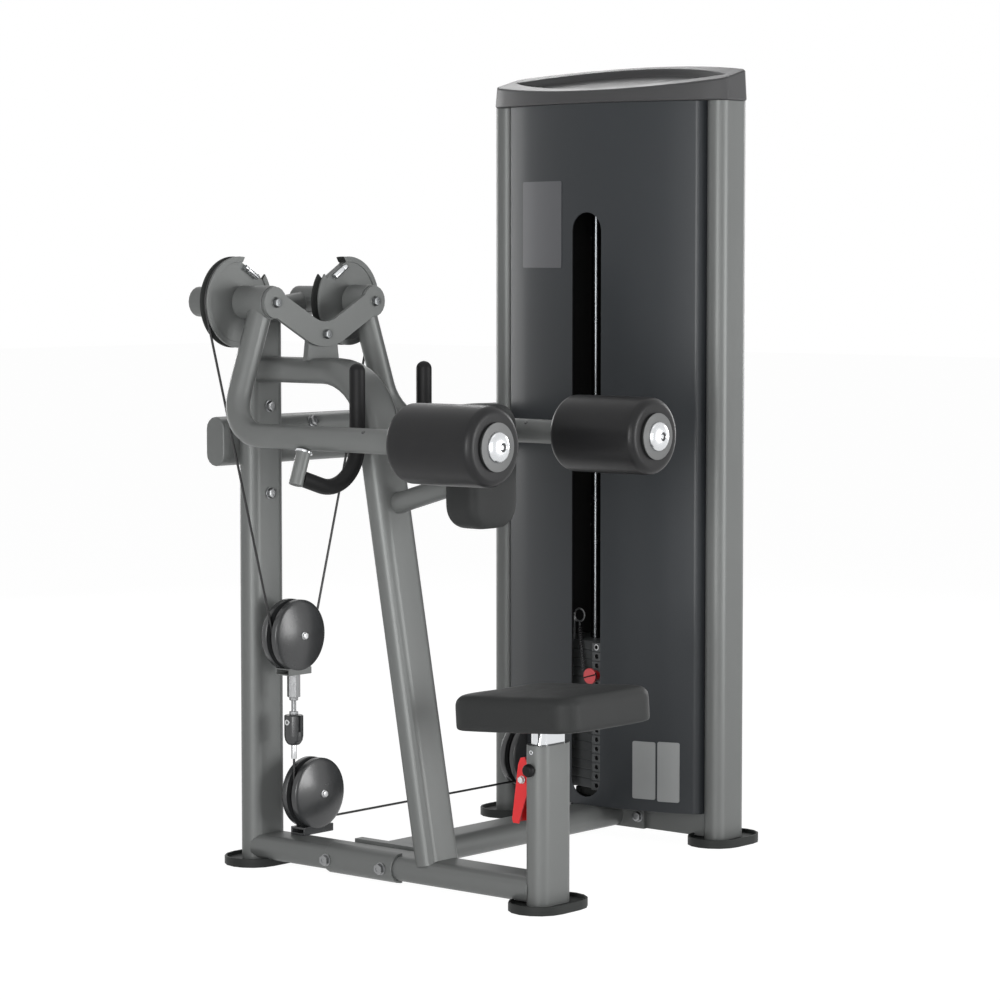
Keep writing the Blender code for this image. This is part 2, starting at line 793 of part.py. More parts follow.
def build_pivot_plate():
    corners = [(-PIVOT_X, PIVOT_Z, 0), (0, PIVOT_Z - PLATE_DIP, 0), (PIVOT_X, PIVOT_Z, 0)]
    path = rounded_path(corners, PLATE_BEND_R, BEND_STEPS)
    plate = prism("pivot_plate", ribbon(path, PLATE_BAND), "Y", PLATE_Y, PLATE_BACK)
    for side in (-1, 1):
        at = (side * PIVOT_X, PIVOT_Z)
        join(plate, rod("lobe", LOBE_R, "Y", at, PLATE_Y, PLATE_BACK, FINE))
    for side in (-1, 1):
        at = (side * PIVOT_X, PIVOT_Z)
        cut(plate, rod("lobe_hole", PIN_R + RUN, "Y", at, PLATE_Y - PLATE_T, PLATE_BACK + PLATE_T, FINE))
    part(plate, FRAME_GREY)

    low_z = REAR_TOP + GAP
    deep = TUBE_T / 2 - YOKE_INSET
    high = (YOKE_HALF, REAR_Y + deep, low_z + YOKE_H)
    bracket = box("bearing_bracket", (-YOKE_HALF, REAR_Y - deep, low_z), high)
    for side in (-1, 1):
        at = (side * PIVOT_X, PIVOT_Z)
        ends = [(0, REAR_Y, low_z + YOKE_ARM), (side * PIVOT_X, REAR_Y, PIVOT_Z)]
        join(bracket, round_tube("bearing_arm", ends, BOSS_ARM_R, 4))
        start = CAM_Y[side] + CAM_BACK + RUN
        join(bracket, rod("boss", BOSS_R, "Y", at, start, BOSS_END, FINE))
    for side in (-1, 1):
        at = (side * PIVOT_X, PIVOT_Z)
        cut(bracket, rod("boss_bore", SHAFT_R + RUN, "Y", at, PLATE_BACK, BOSS_END + BOSS_R, FINE))
    part(bracket, FRAME_GREY)


def cam_profile(y):
    groove = CAM_HALF - CAM_LIP
    floor = CAM_FLOOR_HALF
    inner = CAM_RIM_IN - CAM_STEP
    return [
        (0, y - CAM_FACE),
        (CAM_HUB_R, y - CAM_FACE),
        (inner, y - CAM_HALF + CAM_DISH),
        (CAM_RIM_IN, y - CAM_HALF),
        (CAM_R, y - CAM_HALF),
        (CAM_R, y - groove),
        (CAM_GROOVE_R, y - floor),
        (CAM_GROOVE_R, y + floor),
        (CAM_R, y + groove),
        (CAM_R, y + CAM_HALF),
        (CAM_RIM_IN, y + CAM_HALF),
        (inner, y + CAM_HALF - CAM_DISH_BACK),
        (CAM_HUB_R, y + CAM_HALF - CAM_DISH_BACK / 2),
        (BOSS_R, y + CAM_BACK),
        (SHAFT_R, y + CAM_BACK),
        (SHAFT_R, BOSS_END - SHAFT_SHY),
        (0, BOSS_END - SHAFT_SHY),
    ]


def arm_line(side):
    """The direction from the pivot to the arm's straight run."""
    return Vector((side * (ARM_X - PIVOT_X), 0, ARM_Z - PIVOT_Z)).normalized()


def build_arm(side, hand):
    at = (side * PIVOT_X, PIVOT_Z)
    pivot = (side * PIVOT_X, CAM_Y[side], PIVOT_Z)
    cam = turned("cam_" + hand, cam_profile(CAM_Y[side]), "Y", at, CAM_SIDES)
    turn = math.radians(CAM_NOTCH_DEG)
    low = (-CAM_NOTCH_HALF, CAM_Y[side] - CAM_R, CAM_NOTCH_R)
    block = box("notch", low, (CAM_NOTCH_HALF, CAM_Y[side] + CAM_R, CAM_R * 1.5))
    block.data.transform(Matrix.Rotation(-side * turn, 4, "Y"))
    block.data.transform(Matrix.Translation((side * PIVOT_X, 0, PIVOT_Z)))
    cut(cam, block)
    part(cam, FRAME_GREY, pivot)

    hub_end = CAM_Y[side] - CAM_FACE - GAP
    profile = [
        (0, PLATE_Y - GAP - PIN_HEAD_L),
        (PIN_HEAD_R * 0.8, PLATE_Y - GAP - PIN_HEAD_L),
        (PIN_HEAD_R, PLATE_Y - GAP - PIN_HEAD_L * 0.7),
        (PIN_HEAD_R, PLATE_Y - RUN),
        (PIN_R, PLATE_Y - RUN),
        (PIN_R, PLATE_BACK + RUN),
        (HUB_R, PLATE_BACK + RUN),
        (HUB_R, hub_end),
        (0, hub_end),
    ]
    arm = turned("arm_" + hand, profile, "Y", at, FINE)
    end = ROLL_Y0 + ARM_END
    corners = [(side * PIVOT_X, ARM_Y, PIVOT_Z), (side * ARM_X, ARM_Y, ARM_Z), (side * ARM_X, end, ARM_Z)]
    join(arm, round_tube("arm_tube", rounded_path(corners, ARM_BEND_R, BEND_STEPS), ARM_R, 5))
    part(arm, FRAME_GREY, pivot)

    spin = (side * ARM_X, (ROLL_Y0 + ROLL_Y1) / 2, ARM_Z)
    centre = (side * ARM_X, ARM_Z)
    bore = ARM_R + RUN
    edge = ROLL_EDGE
    profile = [
        (bore, ROLL_Y0 + ROLL_RECESS_D),
        (ROLL_RECESS_R, ROLL_Y0 + ROLL_RECESS_D),
        (ROLL_RECESS_R, ROLL_Y0),
    ]
    for i in range(4):
        turn = math.radians(30 * i)
        profile.append((ROLL_R - edge + edge * math.sin(turn), ROLL_Y0 + edge - edge * math.cos(turn)))
    for i in range(4):
        turn = math.radians(30 * i)
        profile.append((ROLL_R - edge + edge * math.cos(turn), ROLL_Y1 - edge + edge * math.sin(turn)))
    profile.append((bore, ROLL_Y1))
    part(turned("roller_" + hand, profile, "Y", centre, ROLL_SIDES, closed=True), BLACK, spin)

    back = ROLL_Y0 + ROLL_RECESS_D - RUN
    front = back - WASHER_T
    profile = [
        (0, ROLL_Y0 + ARM_END - GAP),
        (CAP_STUB_R, ROLL_Y0 + ARM_END - GAP),
        (CAP_STUB_R, back),
        (WASHER_R, back),
        (WASHER_R, front),
        (DOME_R, front),
        (DOME_R * 0.93, front - DOME_H * 0.45),
        (DOME_R * 0.72, front - DOME_H * 0.8),
        (DOME_R * 0.40, front - DOME_H),
        (0, front - DOME_H),
    ]
    part(turned("roller_cap_" + hand, profile, "Y", centre, FINE), CHROME, spin)

    build_handle(side, hand)


def build_handle(side, hand):
    line = arm_line(side)
    tube = Vector((side * ARM_X, HANDLE_Y, ARM_Z))
    top = tube + line * (ARM_R + GAP)
    bottom = top + line * PEG_L
    peg = round_tube("handle_peg_" + hand, [top, bottom], PEG_R, 5)
    part(peg, FRAME_GREY, tuple(top))

    corner = Vector((side * HANDLE_X, HANDLE_Y, HANDLE_LOW))
    grip_at = top + line * PEG_GRIP
    grip_at = grip_at + (corner - grip_at).normalized() * (PEG_R / 2)
    end = (side * HANDLE_X, HANDLE_Y, HANDLE_TOP - HANDLE_R)
    path = rounded_path([grip_at, corner, end], HANDLE_BEND_R, BEND_STEPS)
    taper = [1.0]
    for turn in (0.5, 1.0, 1.35):
        rise = HANDLE_R * (math.sin(turn) - 1)
        path.append(Vector((side * HANDLE_X, HANDLE_Y, HANDLE_TOP + rise)))
        taper.append(math.cos(turn))
    grip = round_tube("handle_grip_" + hand, path, HANDLE_R, 4, taper)
    cut(grip, round_tube("grip_cope", [top, bottom], PEG_R + GAP, 5))
    part(grip, BLACK, tuple(top))


def sheave(name, axis, at, plane, rim, groove, half):
    bore = AXLE_R + RUN
    floor = SHEAVE_FLOOR_HALF
    profile = [
        (bore, plane - half),
        (rim, plane - half),
        (rim, plane - half + SHEAVE_LIP),
        (groove, plane - floor),
        (groove, plane + floor),
        (rim, plane + half - SHEAVE_LIP),
        (rim, plane + half),
        (bore, plane + half),
    ]
    return turned(name, profile, axis, at, SHEAVE_SIDES, closed=True)


def housing(name, x, z):
    """Two domed covers on an axle, with the sheave running between them."""
    profile = []
    for side in (-1, 1):
        half = [
            (0, CABLE_Y + side * COVER_DOME),
            (COVER_MID_R, CABLE_Y + side * (COVER_DOME - COVER_MID_DROP)),
            (COVER_EDGE_R, CABLE_Y + side * (COVER_DOME - COVER_EDGE_DROP)),
            (COVER_R, CABLE_Y + side * COVER_OUT),
            (COVER_R, CABLE_Y + side * COVER_IN),
            (AXLE_R, CABLE_Y + side * COVER_IN),
        ]
        profile += half if side < 0 else half[::-1]
    return turned(name, profile, "Y", (x, z), FINE)


def build_pulleys():
    float_at = (0.0, CABLE_Y, FLOAT_Z)
    carriage = housing("pulley_carriage", 0.0, FLOAT_Z)
    strap_top = FLOAT_Z - STRAP_TOP
    low = (-STRAP_HALF, CABLE_Y - COVER_OUT, strap_top - STRAP_T)
    join(carriage, box("carriage_strap", low, (STRAP_HALF, CABLE_Y + COVER_OUT, strap_top)))
    part(carriage, PLASTIC, float_at)
    wheel = sheave("sheave_floating", "Y", (0, FLOAT_Z), CABLE_Y, SHEAVE_R, SHEAVE_GROOVE_R, SHEAVE_HALF)
    part(wheel, PLASTIC, float_at)

    hex_top = strap_top - STRAP_T - GAP
    at = (0.0, CABLE_Y)
    adjuster = prism("carriage_adjuster", circle(HEX_R, at, 6), "Z", HEX_END, hex_top)
    block_top = BLOCK_TOP + GAP
    join(adjuster, rod("adjuster_rod", ROD_R, "Z", at, block_top, HEX_END + NUT_H, SMALL))
    join(adjuster, prism("adjuster_nut", circle(NUT_R, at, 6), "Z", block_top, block_top + NUT_H))
    join(adjuster, prism("adjuster_lock", circle(NUT_R, at, 6), "Z", HEX_END - NUT_H, HEX_END + NUT_SINK))
    part(adjuster, CHROME)

    profile = [
        (0, BLOCK_TOP),
        (BLOCK_R, BLOCK_TOP),
        (BLOCK_R, FERRULE_TOP + BLOCK_NECK),
        (BLOCK_R * 0.88, FERRULE_TOP + BLOCK_NECK * 0.45),
        (BLOCK_R * 0.55, FERRULE_TOP),
        (FERRULE_R, FERRULE_TOP),
        (FERRULE_R, FERRULE_END),
        (0, FERRULE_END),
    ]
    part(turned("connector_block", profile, "Z", at, ROUND), PLASTIC)

    places = {"low": (ROUTE_R, LOW_FOOT), "base": (STACK_X - ROUTE_R, BASE_FOOT)}
    for word, (x, foot) in places.items():
        body = housing("pulley_housing_" + word, x, LOW_Z)
        low = (foot[0], CABLE_Y - COVER_OUT, BEAM_TOP + GAP)
        join(body, box(word + "_strap", low, (foot[1], CABLE_Y + COVER_OUT, LOW_Z - STRAP_TOP)))
        part(body, PLASTIC)
        wheel = sheave("sheave_" + word, "Y", (x, LOW_Z), CABLE_Y, SHEAVE_R, SHEAVE_GROOVE_R, SHEAVE_HALF)
        part(wheel, PLASTIC, (x, CABLE_Y, LOW_Z))


def top_sheaves():
    return {"far": CABLE_Y - TOP_ROUTE_R, "mid": TOWER_Y + TOP_ROUTE_R}


def build_tower():
    for word, y in (("near", TOWER_Y - TOWER_HALF), ("far", TOWER_Y + TOWER_HALF)):
        part(flat_oval("upright_" + word, "Z", (TOWER_X, y), POST_Z, TOWER_TOP), FRAME_GREY)
    part(base_beam_shape("base_beam"), FRAME_GREY)

    inner = TOWER_HALF - TUBE_T / 2 - GAP
    low = (TOWER_X - BASE_W / 2, TOWER_Y - inner, TOP_BEAM_Z)
    beam = box("top_beam", low, (TOWER_X + BASE_W / 2, TOWER_Y + inner, TOP_BEAM_Z + TOP_BEAM_H))
    plate_x = STACK_X + SHEAVE_HALF + RUN
    sheaves = top_sheaves()
    low = (plate_x, sheaves["mid"] - AXLE_PLATE_OVER, TOP_BEAM_Z + TOP_BEAM_H / 2)
    high = (plate_x + AXLE_PLATE_T, sheaves["far"] + AXLE_PLATE_OVER, TOP_BEAM_Z + TOP_BEAM_H + AXLE_PLATE_H)
    join(beam, box("axle_plate", low, high))
    for y in sheaves.values():
        pin_end = STACK_X - SHEAVE_HALF - AXLE_OVER
        join(beam, rod("axle_pin", AXLE_R, "X", (y, TOP_SHEAVE_Z), pin_end, plate_x + AXLE_PLATE_T / 2))
    for y in (CABLE_Y, TOWER_Y):
        low = TOP_BEAM_Z - TOP_BEAM_H
        cut(beam, rod("cable_way", CABLE_HOLE_R, "Z", (STACK_X, y), low, low + 2.5 * TOP_BEAM_H, SMALL))
    part(beam, FRAME_GREY)
    for word, y in sheaves.items():
        at = (y, TOP_SHEAVE_Z)
        wheel = sheave("sheave_top_" + word, "X", at, STACK_X, TOP_SHEAVE_R, TOP_GROOVE_R, SHEAVE_HALF)
        part(wheel, PLASTIC, (STACK_X, y, TOP_SHEAVE_Z))

    build_shrouds()
    build_cap()


def shroud_path():
    """The front shroud's middle line in plan, with both edges curled back."""
    front = TOWER_X - SHROUD_END_X
    near = (front, TOWER_Y - SHROUD_HALF)
    far = (front, TOWER_Y + SHROUD_HALF)
    arc = arc_to(near, far, SHROUD_BULGE - SHROUD_END_X, SHROUD_STEPS)
    tip = front + SHROUD_CURL
    first = [(tip, near[1], 0), (near[0], near[1], 0), (arc[2][0], arc[2][1], 0)]
    last = [(arc[-3][0], arc[-3][1], 0), (far[0], far[1], 0), (tip, far[1], 0)]
    path = rounded_path(first, SHROUD_CURL_R, 4)[:-1]
    path += [Vector((a, b, 0)) for a, b in arc[2:-2]]
    path += rounded_path(last, SHROUD_CURL_R, 4)[1:]
    return path


def build_shrouds():
    path = shroud_path()
    top = TOWER_TOP
    front = prism("front_shroud", ribbon(path, SHROUD_T), "Z", SHROUD_Z, top)
    length = SLOT_Z1 - SLOT_Z0
    slot = stadium(length, SLOT_W, ((SLOT_Z0 + SLOT_Z1) / 2, TOWER_Y), 10)
    ahead = TOWER_X - 2 * SHROUD_BULGE
    cut(front, prism("slot", upright(slot), "X", ahead, TOWER_X - SHROUD_END_X))
    cut(front, box("pulley_notch", (ahead, NOTCH_Y, 0.0), (TOWER_X, TOWER_Y + TOWER_HALF, NOTCH_Z)))
    part(front, DARK_GREY)
    back = [(2 * TOWER_X - p[0], p[1], 0) for p in path]
    part(prism("rear_shroud", ribbon(back, SHROUD_T), "Z", SHROUD_Z, top), DARK_GREY)


def lens(grow):
    """The cap's outline in plan: two arcs between the posts with rounded ends."""
    end_x = TUBE_W / 2 - CAP_EDGE + grow
    end_y = TOWER_HALF + TUBE_T / 2 + grow
    bulge = SHROUD_BULGE + CAP_EDGE + grow
    near = (TOWER_X - end_x, TOWER_Y - end_y + CAP_CORNER)
    far = (TOWER_X - end_x, TOWER_Y + end_y - CAP_CORNER)
    front = arc_to(near, far, bulge - end_x, CAP_STEPS)
    corner = [(TOWER_X - end_x + CAP_CORNER, TOWER_Y + end_y)]
    half = front + corner
    other = [(2 * TOWER_X - a, b) for a, b in half]
    first = [(TOWER_X - end_x + CAP_CORNER, TOWER_Y - end_y)]
    last = [(2 * TOWER_X - first[0][0], first[0][1])]
    return first + half + other[::-1] + last


def tray():
    """The pointed lens of the cap's recess."""
    half = TOWER_HALF - CAP_EDGE
    bulge = SHROUD_BULGE - CAP_RIM
    front = arc_to((TOWER_X, TOWER_Y - half), (TOWER_X, TOWER_Y + half), bulge, CAP_STEPS)
    back = [(2 * TOWER_X - a, b) for a, b in front[1:-1]]
    return front + back[::-1]


def build_cap():
    tall = CAP_FRONT_H + CAP_SLOPE * 3 * SHROUD_BULGE
    cap = prism("tower_cap", lens(CAP_OVER), "Z", CAP_Z, CAP_Z + tall)
    front = TOWER_X - SHROUD_BULGE - CAP_OVER
    high = CAP_Z + CAP_FRONT_H
    sky = CAP_Z + 2 * tall
    before = (front - SHROUD_BULGE, high - CAP_SLOPE * SHROUD_BULGE)
    behind = (front + 4 * SHROUD_BULGE, high + CAP_SLOPE * 4 * SHROUD_BULGE)
    above = [before, behind, (behind[0], sky), (before[0], sky)]
    cut(cap, prism("cap_slope", above, "Y", TOWER_Y - 2 * TOWER_HALF, TOWER_Y + 2 * TOWER_HALF))
    pocket = prism("cap_tray", tray(), "Z", CAP_Z, sky)
    for vert in pocket.data.vertices:
        if vert.co.z < CAP_Z + GAP:
            vert.co.z = high + CAP_SLOPE * (vert.co.x - front) - CAP_DEPTH
    cut(cap, pocket)
    part(cap, PLASTIC)


def plate_outline(inset):
    nose = NOSE_X + inset
    half = STACK_HALF - inset
    side = STACK_SIDE_X + inset
    front = [(SHOULDER_X + inset, NOSE_HALF - inset), (nose, NOSE_HALF - inset)]
    right = [(STACK_BACK_X - inset, half), (side, half)] + front
    left = [(a, -b) for a, b in reversed(right)]
    return [(a, TOWER_Y + b) for a, b in right + left]


def drill_plates(obj, low, high):
    """The holes for the two guide rods and the stem."""
    for offset in (-ROD_GUIDE_Y, ROD_GUIDE_Y):
        at = (STACK_X, TOWER_Y + offset)
        cut(obj, rod("guide_way", ROD_GUIDE_R + RUN, "Z", at, low - PLATE_PITCH, high + PLATE_PITCH))
    at = (STACK_X, TOWER_Y)
    cut(obj, rod("stem_way", STEM_R + RUN, "Z", at, low - PLATE_PITCH, high + PLATE_PITCH, SMALL))


def plate_level(index):
    return STACK_Z + PLATE_PITCH * (PLATES - 1 - index)


def build_stack():
    lift = (STACK_X, TOWER_Y, plate_level(0))
    for index in range(LIFTED):
        low = plate_level(index)
        high = low + PLATE_PITCH - GAP
        name = "top_plate" if index == 0 else "lifted_plate_" + str(index)
        plate = prism(name, plate_outline(0.0), "Z", low, high)
        drill_plates(plate, low, high)
        end = KEY_END + KEY_SPACE if index == LIFTED - 1 else NOSE_X + HOLE_D
        middle = low + PLATE_PITCH / 2
        cut(plate, rod("selector_hole", HOLE_R, "X", (TOWER_Y, middle), NOSE_X - HOLE_D, end, SMALL))
        if index == 0:
            eye = (RING_X, RING_Y + RING_R)
            join(plate, rod("ring_post", EYE_R, "Z", eye, high - EYE_SINK, RING_Z + EYE_SINK, SMALL))
            join(plate, lanyard_ring("ring"))
        part(plate, STEEL, lift)

    low = plate_level(PLATES - 1)
    high = plate_level(LIFTED - 1) - GAP
    rest = prism("resting_plates", plate_outline(0.0), "Z", low, high)
    inside = plate_outline(GROOVE_IN)
    for index in range(LIFTED, PLATES):
        middle = plate_level(index)
        if index < PLATES - 1:
            low_face = middle - GROOVE_H / 2
            corner = (NOSE_X - STACK_HALF, TOWER_Y - 2 * STACK_HALF, low_face)
            other = (STACK_BACK_X + STACK_HALF, TOWER_Y + 2 * STACK_HALF, low_face + GROOVE_H)
            outside = box("groove", corner, other)
            core = prism("groove_core", inside, "Z", low_face - GROOVE_H, low_face + 2 * GROOVE_H)
            combine(outside, core, "DIFFERENCE")
            cut(rest, outside)
        middle += PLATE_PITCH / 2
        cut(rest, rod("rest_hole", HOLE_R, "X", (TOWER_Y, middle), NOSE_X - HOLE_D, NOSE_X + HOLE_D, 8))
    drill_plates(rest, low, high)
    part(rest, STEEL)

    profile = [
        (0, STEM_BOTTOM),
        (STEM_R, STEM_BOTTOM),
        (STEM_R, STACK_TOP),
        (COLLAR_R, STACK_TOP),
        (COLLAR_R, STACK_TOP + COLLAR_H),
        (STEM_R, STACK_TOP + COLLAR_H),
        (STEM_R, STEM_TOP),
        (0, STEM_TOP),
    ]
    stem = turned("selector_stem", profile, "Z", (STACK_X, TOWER_Y), SMALL)
    key_z = plate_level(LIFTED - 1) + PLATE_PITCH / 2
    reach = 3 * STEM_R
    cut(stem, rod("stem_hole", HOLE_R, "X", (TOWER_Y, key_z), STACK_X - reach, STACK_X + reach, SMALL))
    part(stem, STEEL, lift)

    for word, offset in (("near", -ROD_GUIDE_Y), ("far", ROD_GUIDE_Y)):
        profile = [
            (0, BEAM_TOP + GAP),
            (BUMPER_R, BEAM_TOP + GAP),
            (BUMPER_R, STACK_Z - GAP),
            (ROD_GUIDE_R, STACK_Z - GAP),
            (ROD_GUIDE_R, TOP_BEAM_Z - GAP),
            (0, TOP_BEAM_Z - GAP),
        ]
        part(turned("guide_rod_" + word, profile, "Z", (STACK_X, TOWER_Y + offset), ROUND), CHROME)

    neck = KEY_HEAD_X + KEY_HEAD_L
    profile = [
        (0, KEY_HEAD_X),
        (KEY_HEAD_R * 0.94, KEY_HEAD_X),
        (KEY_HEAD_R, KEY_HEAD_X + KEY_EDGE),
        (KEY_HEAD_R, neck),
        (KEY_NECK_R, neck),
        (KEY_NECK_R, NOSE_X - GAP),
        (KEY_R, NOSE_X - GAP),
        (KEY_R, KEY_END),
        (0, KEY_END),
    ]
    part(turned("selector_pin", profile, "X", (TOWER_Y, key_z), ROUND), RED, (NOSE_X, TOWER_Y, key_z))
    build_lanyard(key_z)


def lanyard_ring(name):
    """A wire ring that stands across the X direction."""
    middle = Vector((RING_X, RING_Y, RING_Z))
    bm = bmesh.new()
    rings = []
    for k in range(RING_STEPS):
        angle = 2 * math.pi * k / RING_STEPS
        out = Vector((0, math.cos(angle), math.sin(angle)))
        spots = []
        for i in range(6):
            turn = 2 * math.pi * i / 6
            lean = out * math.cos(turn) + Vector((math.sin(turn), 0, 0))
            spots.append(bm.verts.new(middle + out * RING_R + lean * RING_WIRE))
        rings.append(spots)
    for k in range(RING_STEPS):
        one = rings[k]
        two = rings[(k + 1) % RING_STEPS]
        for i in range(6):
            j = (i + 1) % 6
            bm.faces.new((one[i], one[j], two[j], two[i]))
    return from_bmesh(name, bm)


def build_lanyard(key_z):
    start = Vector((RING_X, RING_Y, RING_Z - RING_R - RING_WIRE - COIL_WIRE - GAP))
    end = Vector((KEY_HEAD_X + KEY_HEAD_L / 2, TOWER_Y + KEY_HEAD_R + COIL_WIRE + GAP, key_z))
    run = (end - start).normalized()
    first = run.orthogonal().normalized()
    second = run.cross(first)
    turns = int(((end - start).length - 2 * COIL_LEAD) / COIL_PITCH)
    length = turns * COIL_PITCH
    base = start + run * ((end - start).length - length) / 2
    points = [start]
    for i in range(turns * COIL_POINTS + 1):
        turn = 2 * math.pi * i / COIL_POINTS
        along = length * i / (turns * COIL_POINTS)
        points.append(base + run * along + COIL_R * (first * math.cos(turn) + second * math.sin(turn)))
    points.append(end)
    least = 1.0
    for i, one in enumerate(points):
        for two in points[i + COIL_POINTS - 2:]:
            least = min(least, (one - two).length)
    print("lanyard: least gap to itself", round((least - 2 * COIL_WIRE) * 1000, 2), "mm")
    part(round_tube("lanyard", points, COIL_WIRE, 1), BLACK, (NOSE_X, TOWER_Y, key_z))


def tangent(one, radius_one, two, radius_two, side):
    """Where a straight cable leaves one wheel and meets the other, both on the same side."""
    line = two - one
    span = line.length
    line = line / span
    normal = Vector((-line.y, line.x)) * side
    lean = (radius_one - radius_two) / span
    out = normal * math.sqrt(1 - lean * lean) + line * lean
    return one + out * radius_one, two + out * radius_two


def around(centre, radius, start, end, steps, way):
    """Points of an arc round a wheel from one point to another, turning one way."""
    one = math.atan2(start.y - centre.y, start.x - centre.x)
    two = math.atan2(end.y - centre.y, end.x - centre.x)
    while way * (two - one) < 0:
        two += way * 2 * math.pi
    points = []
    for i in range(steps + 1):
        turn = one + (two - one) * i / steps
        points.append(centre + radius * Vector((math.cos(turn), math.sin(turn))))
    return points


def build_cables():
    cam_route = CAM_GROOVE_R + RUN + CABLE_R
    cam = Vector((-PIVOT_X, PIVOT_Z))
    wheel = Vector((0.0, FLOAT_Z))
    leave, meet = tangent(cam, cam_route, wheel, ROUTE_R, -1)
    notch = math.radians(90 - CAM_NOTCH_DEG + TUCK_DEG)
    first = cam + cam_route * Vector((math.cos(notch), math.sin(notch)))
    left = around(cam, cam_route, first, leave, 9, 1)
    mirror = Vector((-meet.x, meet.y))
    bottom = around(wheel, ROUTE_R, meet, mirror, 10, 1)
    path = [Vector((p.x, CAM_Y[-1], p.y)) for p in left]
    path += [Vector((p.x, CABLE_Y, p.y)) for p in bottom]
    path += [Vector((-p.x, CAM_Y[1], p.y)) for p in reversed(left)]
    part(round_tube("equaliser_cable", path, CABLE_R, 1), BLACK)

    low = Vector((ROUTE_R, LOW_Z))
    base = Vector((STACK_X - ROUTE_R, LOW_Z))
    down = around(low, ROUTE_R, Vector((0, LOW_Z)), Vector((ROUTE_R, LOW_Z - ROUTE_R)), 6, 1)
    up = around(base, ROUTE_R, Vector((base.x, LOW_Z - ROUTE_R)), Vector((STACK_X, LOW_Z)), 6, 1)
    path = [Vector((0, CABLE_Y, FERRULE_END - GAP))]
    path += [Vector((p.x, CABLE_Y, p.y)) for p in down + up]
    sheaves = top_sheaves()
    far = Vector((sheaves["far"], TOP_SHEAVE_Z))
    mid = Vector((sheaves["mid"], TOP_SHEAVE_Z))
    crest = TOP_SHEAVE_Z + TOP_ROUTE_R
    over = around(far, TOP_ROUTE_R, Vector((CABLE_Y, TOP_SHEAVE_Z)), Vector((far.x, crest)), 6, 1)
    over += around(mid, TOP_ROUTE_R, Vector((mid.x, crest)), Vector((TOWER_Y, TOP_SHEAVE_Z)), 6, 1)
    path += [Vector((STACK_X, p.x, p.y)) for p in over]
    path.append(Vector((STACK_X, TOWER_Y, STEM_TOP + GAP)))
    part(round_tube("lift_cable", path, CABLE_R, 1), BLACK)


clear_scene()
PARTS = new_collection("lateral_raise_machine", False)
HELPERS = new_collection("cutters", True)
build_feet()
build_frame()
build_seat()
build_chest_pad()
build_pivot_plate()
for mark, word_of in ((-1, "left"), (1, "right")):
    build_arm(mark, word_of)
build_pulleys()
build_tower()
build_stack()
build_cables()
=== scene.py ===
"""Looks of a seated lateral raise machine with a weight tower, built round its CAD frame.

Every piece is in metres in the frame of the CAD: +Z is up, +Y is the way the user
faces and +X points from the seat to the weight tower.
"""

import json
import math

import bmesh
import bpy
from bpy.props import FloatProperty, FloatVectorProperty, IntProperty, PointerProperty
from mathutils import Matrix, Vector
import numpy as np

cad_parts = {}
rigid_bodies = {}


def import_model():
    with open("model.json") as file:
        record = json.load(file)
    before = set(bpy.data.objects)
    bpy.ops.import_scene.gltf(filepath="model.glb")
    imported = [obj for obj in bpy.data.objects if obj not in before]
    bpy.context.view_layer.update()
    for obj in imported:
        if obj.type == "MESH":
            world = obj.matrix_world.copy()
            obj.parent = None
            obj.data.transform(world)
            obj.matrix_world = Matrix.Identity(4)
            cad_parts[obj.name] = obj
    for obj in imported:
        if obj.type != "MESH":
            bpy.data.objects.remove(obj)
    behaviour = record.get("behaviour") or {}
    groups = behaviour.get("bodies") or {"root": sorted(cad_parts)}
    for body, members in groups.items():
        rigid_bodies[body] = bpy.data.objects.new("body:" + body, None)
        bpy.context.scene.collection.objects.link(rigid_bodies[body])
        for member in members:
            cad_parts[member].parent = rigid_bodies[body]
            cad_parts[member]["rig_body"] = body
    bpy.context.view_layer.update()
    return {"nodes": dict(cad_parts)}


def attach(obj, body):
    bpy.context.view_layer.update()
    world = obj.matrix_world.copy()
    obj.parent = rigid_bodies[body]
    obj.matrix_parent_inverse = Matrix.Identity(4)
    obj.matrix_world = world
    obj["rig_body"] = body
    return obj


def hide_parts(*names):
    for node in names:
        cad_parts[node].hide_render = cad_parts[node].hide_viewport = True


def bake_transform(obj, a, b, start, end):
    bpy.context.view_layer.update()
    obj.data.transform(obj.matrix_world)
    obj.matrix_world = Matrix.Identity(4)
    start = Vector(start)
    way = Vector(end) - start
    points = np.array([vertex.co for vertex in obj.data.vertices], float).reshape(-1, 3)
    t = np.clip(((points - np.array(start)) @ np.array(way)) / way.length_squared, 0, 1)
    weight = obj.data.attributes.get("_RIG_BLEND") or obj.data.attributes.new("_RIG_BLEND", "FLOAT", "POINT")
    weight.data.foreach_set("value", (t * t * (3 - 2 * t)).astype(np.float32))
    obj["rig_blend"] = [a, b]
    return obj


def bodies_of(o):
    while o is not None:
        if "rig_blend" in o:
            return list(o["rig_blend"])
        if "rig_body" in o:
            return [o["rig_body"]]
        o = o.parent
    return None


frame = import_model()

bl_info = {
    "name": "Lateral raise machine",
    "version": (1, 0, 0),
    "blender": (4, 5, 0),
    "location": "View3D > Sidebar > Machine",
    "description": "Builds the visible pieces of a seated lateral raise machine",
    "category": "Object",
}

X_AXIS = Vector((1, 0, 0))
Y_AXIS = Vector((0, 1, 0))
Z_AXIS = Vector((0, 0, 1))

